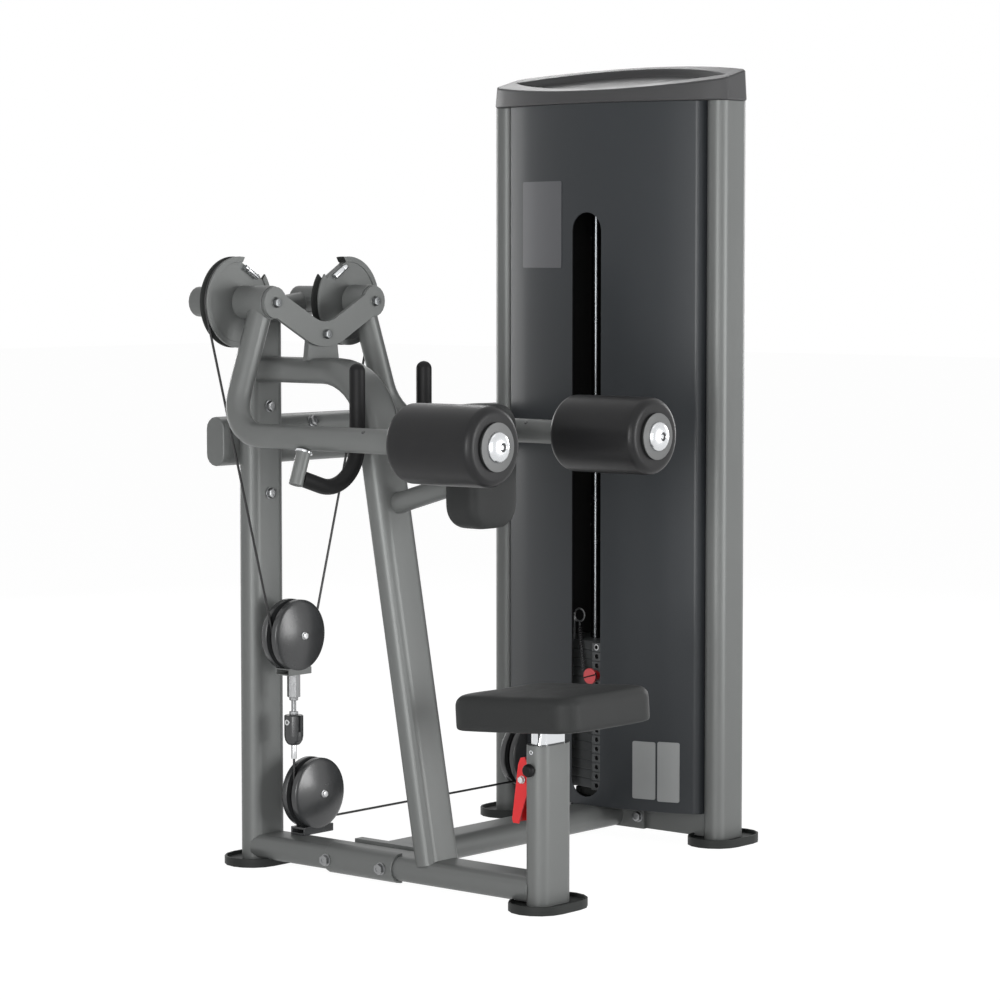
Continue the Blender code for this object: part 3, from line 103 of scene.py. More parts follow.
# Places that the visible pieces share with the CAD, in metres.
PIVOT_X = 0.143
PIVOT_Z = 1.146
PLATE_Y = 0.5737
CAM_Y = {-1: 0.683, 1: 0.655}
CABLE_Y = 0.668
CABLE_R = 0.0025
CAM_ROUTE_R = 0.0851
ROUTE_R = 0.0556
TOP_ROUTE_R = 0.0381
FLOAT_Z = 0.4734
LOW_Z = 0.145
TOP_SHEAVE_Z = 1.460
STACK_X = 0.795
TOWER_Y = 0.455
ARM_X = 0.2373
ARM_Z = 0.891
ARM_R = 0.024
HANDLE_Y = 0.400
SEAT_MIDDLE = Vector((0, -0.0124, 0.351))
SEAT_TILT = math.radians(3.9)
CHEST_MIDDLE = Vector((0, 0.210, 0.836))
STACK_TOP = 0.409
NOSE_X = 0.714
PIN_Z = 0.339
HANDS = ((-1, "left"), (1, "right"))


def linear(code):
    """An sRGB hex colour as linear red, green, blue and alpha."""
    parts = [int(code[i:i + 2], 16) / 255 for i in (0, 2, 4)]
    return tuple(p / 12.92 if p < 0.04045 else ((p + 0.055) / 1.055) ** 2.4 for p in parts) + (1.0,)


def colour(label, code, words):
    return FloatVectorProperty(name=label, description=words, default=linear(code), size=4, subtype="COLOR",
                               min=0.0, max=1.0)


def length(label, metres, words):
    return FloatProperty(name=label, description=words, default=metres, unit="LENGTH", precision=4)


class MachineColours(bpy.types.PropertyGroup):
    steel: colour("Steel", "747675", "Grey powder coat of the frame")
    shroud: colour("Shroud", "3a3d40", "Charcoal coat of the tower's shrouds")
    vinyl: colour("Vinyl", "333434", "Upholstery of the seat and the chest pad")
    foam: colour("Foam", "232324", "Skin of the foam rollers")
    grip: colour("Grip", "101011", "Rubber of the handle grips")
    rubber: colour("Foot rubber", "262827", "Rubber of the feet")
    nylon: colour("Nylon", "38393a", "Moulded pulley covers and wheels")
    cap: colour("Cap", "4e4e4f", "Moulded cap on the tower")
    chrome: colour("Chrome", "d6d8da", "Chrome plate of rods, tube and roller nuts")
    zinc: colour("Zinc", "8c8d8e", "Zinc plate of bolts and nuts")
    bright: colour("Bright zinc", "d2d3d4", "Polished small fittings, rings and sleeves")
    # Dark grey of the guide rods: partly painted shade of the slot they stand in.
    rod: colour("Rod", "5c5e60", "Ground steel of the guide rods")
    washer: colour("Washer", "636464", "Dull washers on the rollers")
    bolt: colour("Dark bolt", "77797a", "Phosphated bolts of the pivots")
    iron: colour("Iron", "5a5c5d", "Coated iron of the weight plates")
    red: colour("Red", "e2262b", "Red of the seat lever and the selector pin")
    cable: colour("Cable", "141415", "Jacket of the wire ropes")
    coil: colour("Coil", "3d3d3e", "Sleeve of the curly lanyard")
    # Painted highlight: the knob's lighter red stands for light on its face.
    knob: colour("Knob", "d9565a", "Lighter red of the selector pin's knob")
    # Painted shade: the black laid inside the shrouds, in the pin holes and in the knob's slot.
    primer: colour("Primer", "0b0b0c", "Flat black primer inside the shrouds")
    plate: colour("Blank plate", "5a5b5e", "Plain plate high on the front shroud")
    label: colour("Blank label", "a4a6a6", "Two plain plates low on the front shroud")
    floor: colour("Floor", "f4f4f4", "Floor round the machine")


class MachineSizes(bpy.types.PropertyGroup):
    edge: length("Steel edge", 0.0012, "Rounding of the edges of tubes and plates")
    bolt_flats: length("Bolt flats", 0.019, "Width across the flats of the frame bolts")
    bolt_head: length("Bolt head", 0.008, "Height of the frame bolts' heads")
    washer: length("Washer", 0.0125, "Radius of the washers under the frame bolts")
    voxel: length("Pad mesh", 0.005, "Mesh size of the pads while they are stuffed")
    swell: length("Pad swell", 0.006, "How far the stuffing may push a pad's cover")
    sides: IntProperty(name="Round sides", description="Sides of turned pieces", default=72, min=12)


def colours():
    return bpy.context.scene.machine_colours


def sizes():
    return bpy.context.scene.machine_sizes


# Finishes.  Each row has the name of its colour, metallic, roughness and the drift of the roughness,
# the mottling's size in mm and strength, the relief's size in mm, depth in mm and strength, and the
# specular level.  The vinyl also has the size of its cells in mm.
FINISHES = {
    # Satin metallic powder coat on steel tube: broad soft highlights and a faint orange peel.
    "satin_powder_coat": ("steel", 0.22, 0.40, 0.02, 140, 0.03, 2.6, 0.06, 0.12, 0.20),
    # Fine matt powder coat on bent sheet: dark and even, with a dry grain drawn 1.6 mm wide so that it shows.
    "charcoal_powder_coat": ("shroud", 0.0, 0.30, 0.01, 220, 0.03, 1.6, 0.05, 0.15, 0.25),
    # Embossed upholstery vinyl: small pebbled cells, drawn 2.4 mm wide so that they show, under a soft sheen.
    "upholstery_vinyl": ("vinyl", 0.0, 0.52, 0.05, 60, 0.06, 1.0, 0.25, 0.35, 0.14, 2.4),
    # Moulded skin of polyurethane foam: smooth and half glossy, with a slow waviness.
    "foam_skin": ("foam", 0.0, 0.36, 0.05, 45, 0.06, 3.2, 0.12, 0.20, 0.20),
    # Dipped rubber on a bent bar: matt with a fine dry grain.
    "dipped_rubber": ("grip", 0.0, 0.52, 0.05, 40, 0.06, 1.4, 0.12, 0.35, 0.20),
    # Moulded solid rubber: dull, slightly dusty in patches. It also lines the cams' grooves, there as painted
    # shade.
    "moulded_rubber": ("rubber", 0.0, 0.58, 0.05, 50, 0.10, 1.6, 0.14, 0.40, 0.25),
    # Injection moulded nylon: a dark body with a satin gloss and faint flow marks.
    "moulded_nylon": ("nylon", 0.0, 0.25, 0.05, 55, 0.06, 2.0, 0.03, 0.12, 0.60),
    # Vacuum formed ABS: dark grey with a fine spark texture, drawn 1.8 mm wide so that it shows.
    "formed_abs": ("cap", 0.0, 0.46, 0.05, 120, 0.05, 1.8, 0.10, 0.30, 0.25),
    # Chrome plate on ground steel: a mirror with slight clouding.
    "chrome_plate": ("chrome", 1.0, 0.10, 0.03, 30, 0.03, 0.8, 0.01, 0.10, 0.50),
    # Zinc plate on bolts: a cool metal, rougher than chrome and a little patchy.
    "zinc_plate": ("zinc", 1.0, 0.30, 0.05, 9, 0.06, 1.2, 0.02, 0.15, 0.50),
    # Chrome on a turned dome that was only buffed: the reflections run into broad bright patches.
    "satin_chrome": ("chrome", 1.0, 0.27, 0.05, 20, 0.03, 0.8, 0.01, 0.10, 0.50),
    # Polished zinc on rings, sleeves and small screws: pale and clean, with a soft gleam.
    "bright_zinc": ("bright", 0.7, 0.30, 0.05, 9, 0.05, 1.2, 0.02, 0.15, 0.50),
    # Painted shade: a dead black without gloss on the inner side of the shroud sheet, in the plates' pin
    # holes and in the slot across the selector knob.
    "flat_primer": ("primer", 0.0, 0.80, 0.05, 60, 0.10, 1.6, 0.05, 0.20, 0.50),
    # Extruded polyurethane over the lanyard's wire: dark grey, smooth and half glossy.
    "coil_sleeve": ("coil", 0.0, 0.32, 0.05, 12, 0.06, 1.1, 0.05, 0.20, 0.50),
    # Painted highlight on the selector pin's knob: its red made paler and chalky, as where its face catches
    # the light.
    "moulded_acetal": ("knob", 0.0, 0.42, 0.05, 14, 0.05, 1.6, 0.05, 0.20, 0.50),
    # Ground bar with a film of oil: a softer mirror than the chrome, made darker as painted shade of the slot
    # the rods stand in.
    "ground_steel": ("rod", 1.0, 0.24, 0.05, 25, 0.05, 0.8, 0.01, 0.10, 0.50),
    # Turned aluminium left dull: an even mid grey with a faint turning grain.
    "dull_aluminium": ("washer", 0.3, 0.50, 0.05, 18, 0.04, 1.2, 0.03, 0.20, 0.50),
    # Phosphated steel: a dull mid grey metal, darker than the zinc.
    "phosphated_steel": ("bolt", 1.0, 0.36, 0.05, 8, 0.08, 0.9, 0.03, 0.25, 0.50),
    # Coated cast iron: dark grey with the soft pitting of a sand casting.
    "coated_iron": ("iron", 0.2, 0.50, 0.05, 35, 0.08, 2.2, 0.14, 0.40, 0.50),
    # Red powder coat: clear colour under a half gloss.
    "red_powder_coat": ("red", 0.0, 0.34, 0.05, 30, 0.06, 2.2, 0.06, 0.25, 0.50),
    # Nylon jacket over wire rope: black with a low gloss, the strands just felt through it.
    "nylon_jacket": ("cable", 0.0, 0.38, 0.05, 12, 0.08, 1.1, 0.10, 0.40, 0.50),
    # Anodised sheet: plain dark grey with a fine even grain.
    "anodised_sheet": ("plate", 0.2, 0.42, 0.05, 60, 0.03, 1.4, 0.03, 0.20, 0.50),
    # Matt plastic film without print: plain light grey, faintly uneven.
    "matt_film": ("label", 0.0, 0.48, 0.05, 30, 0.03, 1.4, 0.02, 0.15, 0.50),
}


def grain(size_mm):
    """Object coordinates are metres, so a pattern of some millimetres has this scale."""
    return 1000.0 / size_mm


def add_node(tree, kind, inputs, **settings):
    """Add a shader node, give it its settings, and link or set its inputs."""
    made = tree.nodes.new("ShaderNode" + kind)
    for key, value in settings.items():
        setattr(made, key, value)
    for socket, value in inputs.items():
        if isinstance(value, bpy.types.NodeSocket):
            tree.links.new(value, made.inputs[socket])
        else:
            made.inputs[socket].default_value = value
    return made


def tone(shade, factor):
    return tuple(min(1.0, c * factor) for c in shade[:3]) + (1.0,)


def empty_tree(owner):
    """The node tree of a material or world, without its first nodes."""
    owner.use_nodes = True
    owner.node_tree.nodes.clear()
    return owner.node_tree


def finish(name):
    """The material of a finish: its colour and roughness drift slowly, under a fine relief."""
    mat = bpy.data.materials.get(name)
    if mat:
        return mat
    (key, metallic, rough, drift, mottle_mm, mottle, bump_mm, depth_mm, strength, specular,
     *cells_mm) = FINISHES[name]
    shade = getattr(colours(), key)
    mat = bpy.data.materials.new(name)
    tree = empty_tree(mat)
    place = add_node(tree, "TexCoord", {}).outputs["Object"]
    cloud = add_node(tree, "TexNoise", {
        "Vector": place, "Scale": grain(mottle_mm), "Detail": 4.0, "Roughness": 0.6}).outputs["Fac"]
    relief = add_node(tree, "TexNoise", {
        "Vector": place, "Scale": grain(bump_mm), "Detail": 2.0, "Roughness": 0.5}).outputs["Fac"]
    mixed = add_node(tree, "Mix", {
        "Factor": cloud, "A": tone(shade, 1 - mottle), "B": tone(shade, 1 + mottle)}, data_type="RGBA")
    spread = add_node(tree, "MapRange", {
        "Value": cloud, "From Min": 0.25, "From Max": 0.75, "To Min": rough - drift, "To Max": rough + drift})
    if cells_mm:
        cells = add_node(tree, "TexVoronoi", {
            "Vector": place, "Scale": grain(cells_mm[0])}, feature="DISTANCE_TO_EDGE")
        soft = add_node(tree, "MapRange", {
            "Value": cells.outputs["Distance"], "From Min": 0.0, "From Max": 0.25})
        relief = add_node(tree, "Math", {
            0: soft.outputs["Result"], 1: relief}, operation="MULTIPLY").outputs["Value"]
    bump = add_node(tree, "Bump", {
        "Height": relief, "Strength": strength, "Distance": depth_mm / 1000})
    shader = add_node(tree, "BsdfPrincipled", {
        "Base Color": mixed.outputs[2], "Metallic": metallic, "Roughness": spread.outputs["Result"],
        "Specular IOR Level": specular, "Normal": bump.outputs["Normal"]})
    add_node(tree, "OutputMaterial", {"Surface": shader.outputs["BSDF"]})
    return mat


# Modelling.

def none():
    """Leave edit mode and select nothing."""
    active = bpy.context.object
    if active and active.mode != "OBJECT":
        bpy.ops.object.mode_set(mode="OBJECT")
    bpy.ops.object.select_all(action="DESELECT")


def only(obj):
    """Select one object and make it active, in object mode."""
    none()
    obj.select_set(True)
    bpy.context.view_layer.objects.active = obj
    return obj


def begin(name, add, **where):
    """Add a primitive with nothing else selected, and put its place in its mesh."""
    none()
    add(**where)
    return settle(bpy.context.object, name)


def settle(obj, name):
    """Name an object and its mesh, and put its place in its mesh."""
    obj.name = name
    obj.data.name = name
    bpy.ops.object.transform_apply(location=True, rotation=True, scale=True)
    return obj


def block(name, at, size, **turn):
    """A box of a given size about a point."""
    return begin(name, bpy.ops.mesh.primitive_cube_add, size=1.0, location=at, scale=size, **turn)


def edit(obj, kind="FACE"):
    only(obj)
    bpy.ops.object.mode_set(mode="EDIT")
    bpy.ops.mesh.select_mode(type=kind)
    bpy.ops.mesh.select_all(action="SELECT")


def pick(kind, test):
    """In edit mode, select the faces, edges or verts whose middle and direction pass a test."""
    bpy.ops.mesh.select_mode(type={"faces": "FACE", "edges": "EDGE", "verts": "VERT"}[kind])
    bpy.ops.mesh.select_all(action="DESELECT")
    mesh = bpy.context.object.data
    bm = bmesh.from_edit_mesh(mesh)
    for item in getattr(bm, kind):
        if kind == "faces":
            found = test(item.calc_center_median(), item.normal)
        elif kind == "edges":
            one, two = (v.co for v in item.verts)
            found = test((one + two) / 2, (two - one).normalized())
        else:
            found = test(item.co, item.normal)
        item.select_set(bool(found))
    bm.select_flush_mode()
    bmesh.update_edit_mesh(mesh)


def leave():
    bpy.ops.object.mode_set(mode="OBJECT")


def modify(obj, kind, **settings):
    """Add a modifier, set it and apply it."""
    only(obj)
    bpy.ops.object.modifier_add(type=kind)
    mod = obj.modifiers[-1]
    for key, value in settings.items():
        setattr(mod, key, value)
    bpy.ops.object.modifier_apply(modifier=mod.name)
    return obj


def soften(obj, width, segments=2, clamp=True):
    return modify(obj, "BEVEL", width=width, segments=segments, limit_method="ANGLE",
                  angle_limit=math.radians(33.0), use_clamp_overlap=clamp)


def carve(obj, cutter, operation="DIFFERENCE"):
    modify(obj, "BOOLEAN", object=cutter, operation=operation, solver="EXACT")
    bpy.data.objects.remove(cutter, do_unlink=True)
    return obj


def smooth(obj, angle=35.0):
    only(obj)
    bpy.ops.object.shade_smooth_by_angle(angle=math.radians(angle))
    return obj


def done(obj, body, coat, slot, *nodes):
    """Give a finished piece its finish and its body, and hide the CAD nodes that it stands for.  The slot is
    not used.
    """
    obj.data.materials.clear()
    obj.data.materials.append(finish(coat))
    if body:
        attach(obj, body)
    if nodes:
        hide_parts(*nodes)
    return obj


def refined(node, width=None, segments=2, clamp=True):
    """A copy of a CAD node with its triangles merged and its sharp edges rounded."""
    source = frame["nodes"][node]
    only(source)
    bpy.ops.object.duplicate()
    obj = bpy.context.object
    obj.name = node + "_piece"
    obj.data.name = obj.name
    for key in [k for k in obj.keys() if k.startswith("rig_")]:
        del obj[key]
    bpy.ops.object.parent_clear(type="CLEAR_KEEP_TRANSFORM")
    edit(obj)
    bpy.ops.mesh.remove_doubles(threshold=2e-5)
    bpy.ops.mesh.dissolve_limited(angle_limit=math.radians(0.6))
    leave()
    soften(obj, width or sizes().edge, segments, clamp)
    return flat_faced(obj)


def flat_faced(obj, angle=35.0):
    """Smooth shading in which the large flat faces stay flat."""
    smooth(obj, angle)
    return modify(obj, "WEIGHTED_NORMAL", mode="FACE_AREA", weight=50, keep_sharp=True)


def body_of(node):
    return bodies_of(frame["nodes"][node])[0]


def refine_all(coat, slot, width, *nodes):
    for node in nodes:
        done(refined(node, width), body_of(node), coat, slot, node)


def repaint(obj, coat, test):
    """Give the faces that pass a test a finish of their own."""
    obj.data.materials.append(finish(coat))
    for face in obj.data.polygons:
        if test(face):
            face.material_index = len(obj.data.materials) - 1


def chain(name, points):
    """A line of edges, drawn out from one vertex."""
    obj = begin(name, bpy.ops.mesh.primitive_plane_add, size=0.001, location=points[0])
    edit(obj, "VERT")
    bpy.ops.mesh.merge(type="CENTER")
    last = Vector(points[0])
    for point in points[1:]:
        step = Vector(point) - last
        bpy.ops.mesh.extrude_region_move(TRANSFORM_OT_translate={"value": step})
        last = Vector(point)
    return obj


def turned(name, at, axis, profile, sides=None):
    """Spin a profile of (radius, distance along the axis) pairs about an axis through a point."""
    axis = Vector(axis).normalized()
    out = axis.orthogonal().normalized()
    at = Vector(at)
    obj = chain(name, [at + out * r + axis * along for r, along in profile])
    bpy.ops.mesh.select_all(action="SELECT")
    bpy.ops.mesh.spin(steps=sides or sizes().sides, angle=2 * math.pi, center=at, axis=axis)
    bpy.ops.mesh.select_all(action="SELECT")
    bpy.ops.mesh.remove_doubles(threshold=1e-5)
    bpy.ops.mesh.normals_make_consistent(inside=False)
    leave()
    return smooth(obj)


def lathe(name, at, axis, profile, sides, body, coat, slot, *nodes):
    """A turned piece that needs no more work."""
    return done(turned(name, at, axis, profile, sides), body, coat, slot, *nodes)


def rounded(profile, radius, steps=4):
    """A profile with each inner corner rounded."""
    points = [Vector(p) for p in profile]
    made = [points[0]]
    for before, corner, after in zip(points, points[1:], points[2:]):
        one = before - corner
        two = after - corner
        reach = min(radius, one.length * 0.45, two.length * 0.45)
        start = corner + one.normalized() * reach
        end = corner + two.normalized() * reach
        for i in range(steps + 1):
            t = i / steps
            made.append(start * (1 - t) ** 2 + corner * 2 * t * (1 - t) + end * t * t)
    made.append(points[-1])
    return [tuple(p) for p in made]


def hoop(inner, outer, low, high, radius, steps=4):
    """The closed profile of a ring whose outer corners are rounded."""
    profile = rounded([(inner, low), (outer, low), (outer, high), (inner, high)], radius, steps)
    return profile + profile[:1]


def rope(name, points, radius, sides=12, taper=()):
    """A round bar along a path, made a mesh with closed ends.  taper scales its last points."""
    line = bpy.data.curves.new(name, "CURVE")
    line.dimensions = "3D"
    line.bevel_depth = radius
    line.bevel_resolution = max(0, (sides - 4) // 2)
    line.use_fill_caps = True
    spline = line.splines.new("POLY")
    spline.points.add(len(points) - 1)
    for knot, place in zip(spline.points, points):
        knot.co = (place[0], place[1], place[2], 1.0)
    for knot, scale in zip(reversed(spline.points), reversed(taper)):
        knot.radius = scale
    obj = bpy.data.objects.new(name, line)
    bpy.context.scene.collection.objects.link(obj)
    only(obj)
    bpy.ops.object.convert(target="MESH")
    obj = bpy.context.object
    edit(obj)
    bpy.ops.mesh.remove_doubles(threshold=1e-6)
    bpy.ops.mesh.normals_make_consistent(inside=False)
    leave()
    return smooth(obj, 50.0)


def place_copy(master, name, at, way):
    """A copy of a small piece that was modelled at the origin along +Z, with its own mesh."""
    only(master)
    bpy.ops.object.duplicate()
    obj = bpy.context.object
    obj.matrix_world = Matrix.Translation(at) @ Vector(way).to_track_quat("Z", "Y").to_matrix().to_4x4()
    return settle(obj, name)


def arm_line(side):
    """The direction of a hanging arm from its pivot to its straight run."""
    return Vector((side * (ARM_X - PIVOT_X), 0, ARM_Z - PIVOT_Z)).normalized()


def arc(centre, radius, start, sweep, steps):
    """Points of an arc in a plane of two numbers, angles in radians."""
    points = []
    for i in range(steps + 1):
        turn = start + sweep * i / steps
        points.append(Vector((centre[0] + radius * math.cos(turn), centre[1] + radius * math.sin(turn))))
    return points


def across(points, y):
    """Points of two numbers as points of the upright plane at Y."""
    return [Vector((p.x, y, p.y)) for p in points]


def straight(one, two, step=0.02):
    count = max(1, round((two - one).length / step))
    return [one.lerp(two, i / count) for i in range(count + 1)]


# Stage.  The camera's place, turn and lens were fitted to the photograph.
CAMERA_AT = (-4.75128, -3.91789, 1.23466)
CAMERA_YAW = math.radians(40.35873)
CAMERA_PITCH = math.radians(4.23722)
CAMERA_LENS_MM = 118.01
CAMERA_SENSOR_MM = 36.0
# The floor's size and its distance under the feet, its own white and the share of it, and the world's fill.
FLOOR_SIZE = 60.0
FLOOR_DROP = 0.0004
FLOOR_WHITE = 1.18
FLOOR_WHITE_SHARE = 0.82
WORLD_FILL = 0.10
LAMP_AIM = Vector((0.3, 0.35, 0.8))
# Tall soft boxes at the height of the machine, on the left, in front and behind. Little comes from above.
# Each has its name, place, width and height in metres, and watts.
LAMPS = (
    ("left", (-3.6, -1.5, 1.0), 1.0, 2.4, 100),
    ("front", (1.8, -3.9, 0.75), 1.8, 2.4, 120),
    ("corner", (-2.8, -3.1, 1.1), 0.8, 2.2, 26),
    ("top", (-0.6, -0.4, 4.4), 2.0, 2.0, 6),
    ("cap", (2.2, 1.85, 2.35), 0.8, 0.5, 7),
    ("rear_left", (1.4, 5.4, 1.4), 1.6, 2.0, 60),
    ("rear_right", (5.4, 0.0, 1.4), 1.6, 2.0, 50),
)


def in_plain_sight(tree):
    """One for rays from the camera, off a glossy surface or through a clear one, else nothing."""
    seen = add_node(tree, "LightPath", {})
    first = add_node(tree, "Math", {
        0: seen.outputs["Is Camera Ray"], 1: seen.outputs["Is Transmission Ray"]}, operation="MAXIMUM")
    both = add_node(tree, "Math", {
        0: first.outputs["Value"], 1: seen.outputs["Is Glossy Ray"]}, operation="MAXIMUM")
    return both.outputs["Value"]


class MACHINE_OT_stage(bpy.types.Operator):
    """Floor, soft light and the camera at the photograph's angle"""
    bl_idname = "machine.stage"
    bl_label = "Stage"

    def execute(self, context):
        scene = context.scene
        scene.view_settings.view_transform = "Standard"
        floor = begin("floor", bpy.ops.mesh.primitive_plane_add, size=FLOOR_SIZE,
                      location=(0, 0, -FLOOR_DROP))
        # Pale matt floor: mostly its own white to the eye and in reflections, and a part that takes shadow.
        mat = bpy.data.materials.new("pale_floor")
        tree = empty_tree(mat)
        clear = in_plain_sight(tree)
        matt = add_node(tree, "BsdfDiffuse", {"Color": colours().floor})
        white = add_node(tree, "Emission", {"Color": (1, 1, 1, 1), "Strength": FLOOR_WHITE})
        share = add_node(tree, "Math", {0: clear, 1: FLOOR_WHITE_SHARE}, operation="MULTIPLY")
        both = add_node(tree, "MixShader", {
            0: share.outputs["Value"], 1: matt.outputs["BSDF"], 2: white.outputs["Emission"]})
        add_node(tree, "OutputMaterial", {"Surface": both.outputs["Shader"]})
        floor.data.materials.append(mat)

        # The world is white to the eye and in reflections, and only a weak fill as light.
        scene.world = bpy.data.worlds.new("studio")
        tree = empty_tree(scene.world)
        level = add_node(tree, "MapRange", {
            "Value": in_plain_sight(tree), "To Min": WORLD_FILL, "To Max": 1.0})
        glow = add_node(tree, "Background", {
            "Color": (1, 1, 1, 1), "Strength": level.outputs["Result"]})
        add_node(tree, "OutputWorld", {"Surface": glow.outputs["Background"]})

        for name, at, wide, tall, watts in LAMPS:
            bpy.ops.object.light_add(type="AREA", location=at)
            lamp = context.object
            lamp.name = name
            lamp.data.shape = "RECTANGLE"
            lamp.data.size = wide
            lamp.data.size_y = tall
            lamp.data.energy = watts
            lamp.rotation_euler = (LAMP_AIM - Vector(at)).to_track_quat("-Z", "Y").to_euler()

        flat = math.cos(CAMERA_PITCH)
        look = Vector((math.cos(CAMERA_YAW) * flat, math.sin(CAMERA_YAW) * flat, -math.sin(CAMERA_PITCH)))
        bpy.ops.object.camera_add(location=CAMERA_AT)
        camera = context.object
        camera.rotation_euler = look.to_track_quat("-Z", "Y").to_euler()
        camera.data.lens = CAMERA_LENS_MM
        camera.data.sensor_width = CAMERA_SENSOR_MM
        scene.camera = camera
        return {"FINISHED"}


# Cords and cables.  COIL_KEPT is the share of the lanyard's run that keeps its coil when the pin is pulled.
LANYARD_TOP = Vector((0.745, 0.527, 0.4442))
LANYARD_END = Vector((0.696, 0.4736, 0.339))
COIL_KEPT = 0.70
FERRULE_LOW = 0.2207
STEM_TOP = 0.4503
ROPE_TUCK = math.radians(28)


def stretched(name, points, node, body, start, end):
    """A wire rope of which one end stays with the frame and the other follows a body."""
    piece = rope(name, points, CABLE_R)
    done(piece, None, "nylon_jacket", "cable", node)
    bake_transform(piece, "frame", body, start=start, end=end)


class MACHINE_OT_lanyard(bpy.types.Operator):
    """Curly lanyard between the ring on the top plate and the selector pin"""
    bl_idname = "machine.lanyard"
    bl_label = "Lanyard"

    def execute(self, context):
        start, end = LANYARD_TOP, LANYARD_END
        turns, per_turn, coil_r, wire_r, pitch = 20, 14, 0.0036, 0.0013, 0.0056
        count = turns * per_turn
        grow_over = per_turn * 0.75
        run = (end - start).normalized()
        first = run.orthogonal().normalized()
        second = run.cross(first)
        lead = ((end - start).length - turns * pitch) / 2
        points = [start, start + run * lead * 0.3]
        for i in range(count + 1):
            turn = 2 * math.pi * i / per_turn
            grow = min(1.0, i / grow_over, (count - i) / grow_over)
            out = first * math.cos(turn) + second * math.sin(turn)
            points.append(start + run * (lead + pitch * i / per_turn) + out * coil_r * grow)
        points += [end - run * lead * 0.3, end]
        coil = rope("lanyard_coil", points, wire_r, 8)
        done(coil, None, "coil_sleeve", "cable", "lanyard")
        # The coil stretches only in its last third, so that it comes out through the shroud's slot.
        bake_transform(coil, "stack", "pin", start=start.lerp(end, COIL_KEPT), end=end)
        profile = hoop(0.0014, 0.0024, -0.0005, 0.0065, 0.0005)
        for word, at, way, body in (("top", start, run, "stack"), ("pin", end, -run, "pin")):
            lathe("lanyard_crimp_" + word, at, way, profile, 20, body, "zinc_plate", "chrome")
        return {"FINISHED"}


class MACHINE_OT_cables(bpy.types.Operator):
    """Wire ropes from the arm cams to the floating pulley and from there to the stack"""
    bl_idname = "machine.cables"
    bl_label = "Cables"

    def execute(self, context):
        # Where the upper rope leaves each cam and meets the floating pulley.
        cam = Vector((-PIVOT_X, PIVOT_Z))
        wheel = Vector((0.0, FLOAT_Z))
        line = (wheel - cam).normalized()
        out = Vector((line.y, -line.x))
        lean = (CAM_ROUTE_R - ROUTE_R) / (wheel - cam).length
        out = out * math.sqrt(1 - lean * lean) + line * lean
        leave_at = cam + out * CAM_ROUTE_R
        meet = wheel + out * ROUTE_R
        leave_turn = math.atan2(out.y, out.x) % (2 * math.pi)
        tuck = math.radians(90) - CUT_TURN + ROPE_TUCK
        for side, hand in HANDS:
            wrap = arc(cam, CAM_ROUTE_R, tuck, leave_turn - tuck, 40)
            points = [Vector((-side * p.x, CAM_Y[side], p.y)) for p in wrap]
            stretched("cam_rope_" + hand, points, "equaliser_cable", hand + "_arm", points[-1], points[0])
        down = straight(Vector((leave_at.x, CAM_Y[-1], leave_at.y)), Vector((meet.x, CABLE_Y, meet.y)))
        under = arc(wheel, ROUTE_R, leave_turn, 2 * (1.5 * math.pi - leave_turn), 28)
        up = straight(Vector((-meet.x, CABLE_Y, meet.y)), Vector((-leave_at.x, CAM_Y[1], leave_at.y)))
        points = down[:-1] + across(under, CABLE_Y) + up[1:]
        stretched("equaliser_rope", points, "equaliser_cable", "carriage", (0, CABLE_Y, leave_at.y),
                  (0, CABLE_Y, FLOAT_Z))

        top = straight(Vector((0, CABLE_Y, FERRULE_LOW)), Vector((0, CABLE_Y, LOW_Z)), 0.008)
        stretched("lift_rope_drop", top, "lift_cable", "carriage", top[-1], top[0])
        half = math.pi / 2
        path = across(arc((ROUTE_R, LOW_Z), ROUTE_R, math.pi, half, 14), CABLE_Y)
        path += across(arc((STACK_X - ROUTE_R, LOW_Z), ROUTE_R, 3 * half, half, 14), CABLE_Y)
        far_y = CABLE_Y - TOP_ROUTE_R
        mid_y = TOWER_Y + TOP_ROUTE_R
        path += [Vector((STACK_X, p.x, p.y)) for p in arc((far_y, TOP_SHEAVE_Z), TOP_ROUTE_R, 0, half, 12)]
        path += [Vector((STACK_X, p.x, p.y)) for p in arc((mid_y, TOP_SHEAVE_Z), TOP_ROUTE_R, half, half, 12)]
        done(rope("lift_rope", path, CABLE_R), "frame", "nylon_jacket", "cable", "lift_cable")
        drop = straight(Vector((STACK_X, TOWER_Y, TOP_SHEAVE_Z)), Vector((STACK_X, TOWER_Y, STEM_TOP)), 0.03)
        stretched("lift_rope_stack", drop, "lift_cable", "stack", drop[0], drop[-1])
        return {"FINISHED"}


# Frame.

class MACHINE_OT_frame(bpy.types.Operator):
    """Welded tubes, posts, beams and brackets"""
    bl_idname = "machine.frame"
    bl_label = "Frame"

    def execute(self, context):
        refine_all("satin_powder_coat", "powder_coat", None, "seat_post", "main_beam", "rear_post",
                   "bent_post", "cross_beam", "clamp_saddle", "chest_tube", "pivot_plate", "bearing_bracket",
                   "upright_near", "upright_far", "base_beam", "top_beam")
        done(refined("rear_brace", 0.0065, 4), "frame", "satin_powder_coat", "powder_coat", "rear_brace")
        refine_all("moulded_rubber", "foot_rubber", 0.0016, "foot_seat", "foot_rear", "foot_tower_near",
                   "foot_tower_far")
        return {"FINISHED"}


# Seat and chest pad.  The cloth runs PAD_FRAMES frames under pressure, and PAD_SPREAD passes even it out.
PAD_PRESSURE = 4.0
PAD_FRAMES = 20
PAD_SPREAD = 30
KNOB_Z = 0.271
SEAT_HOLES = 5
SEAT_HOLE_PITCH = 0.03


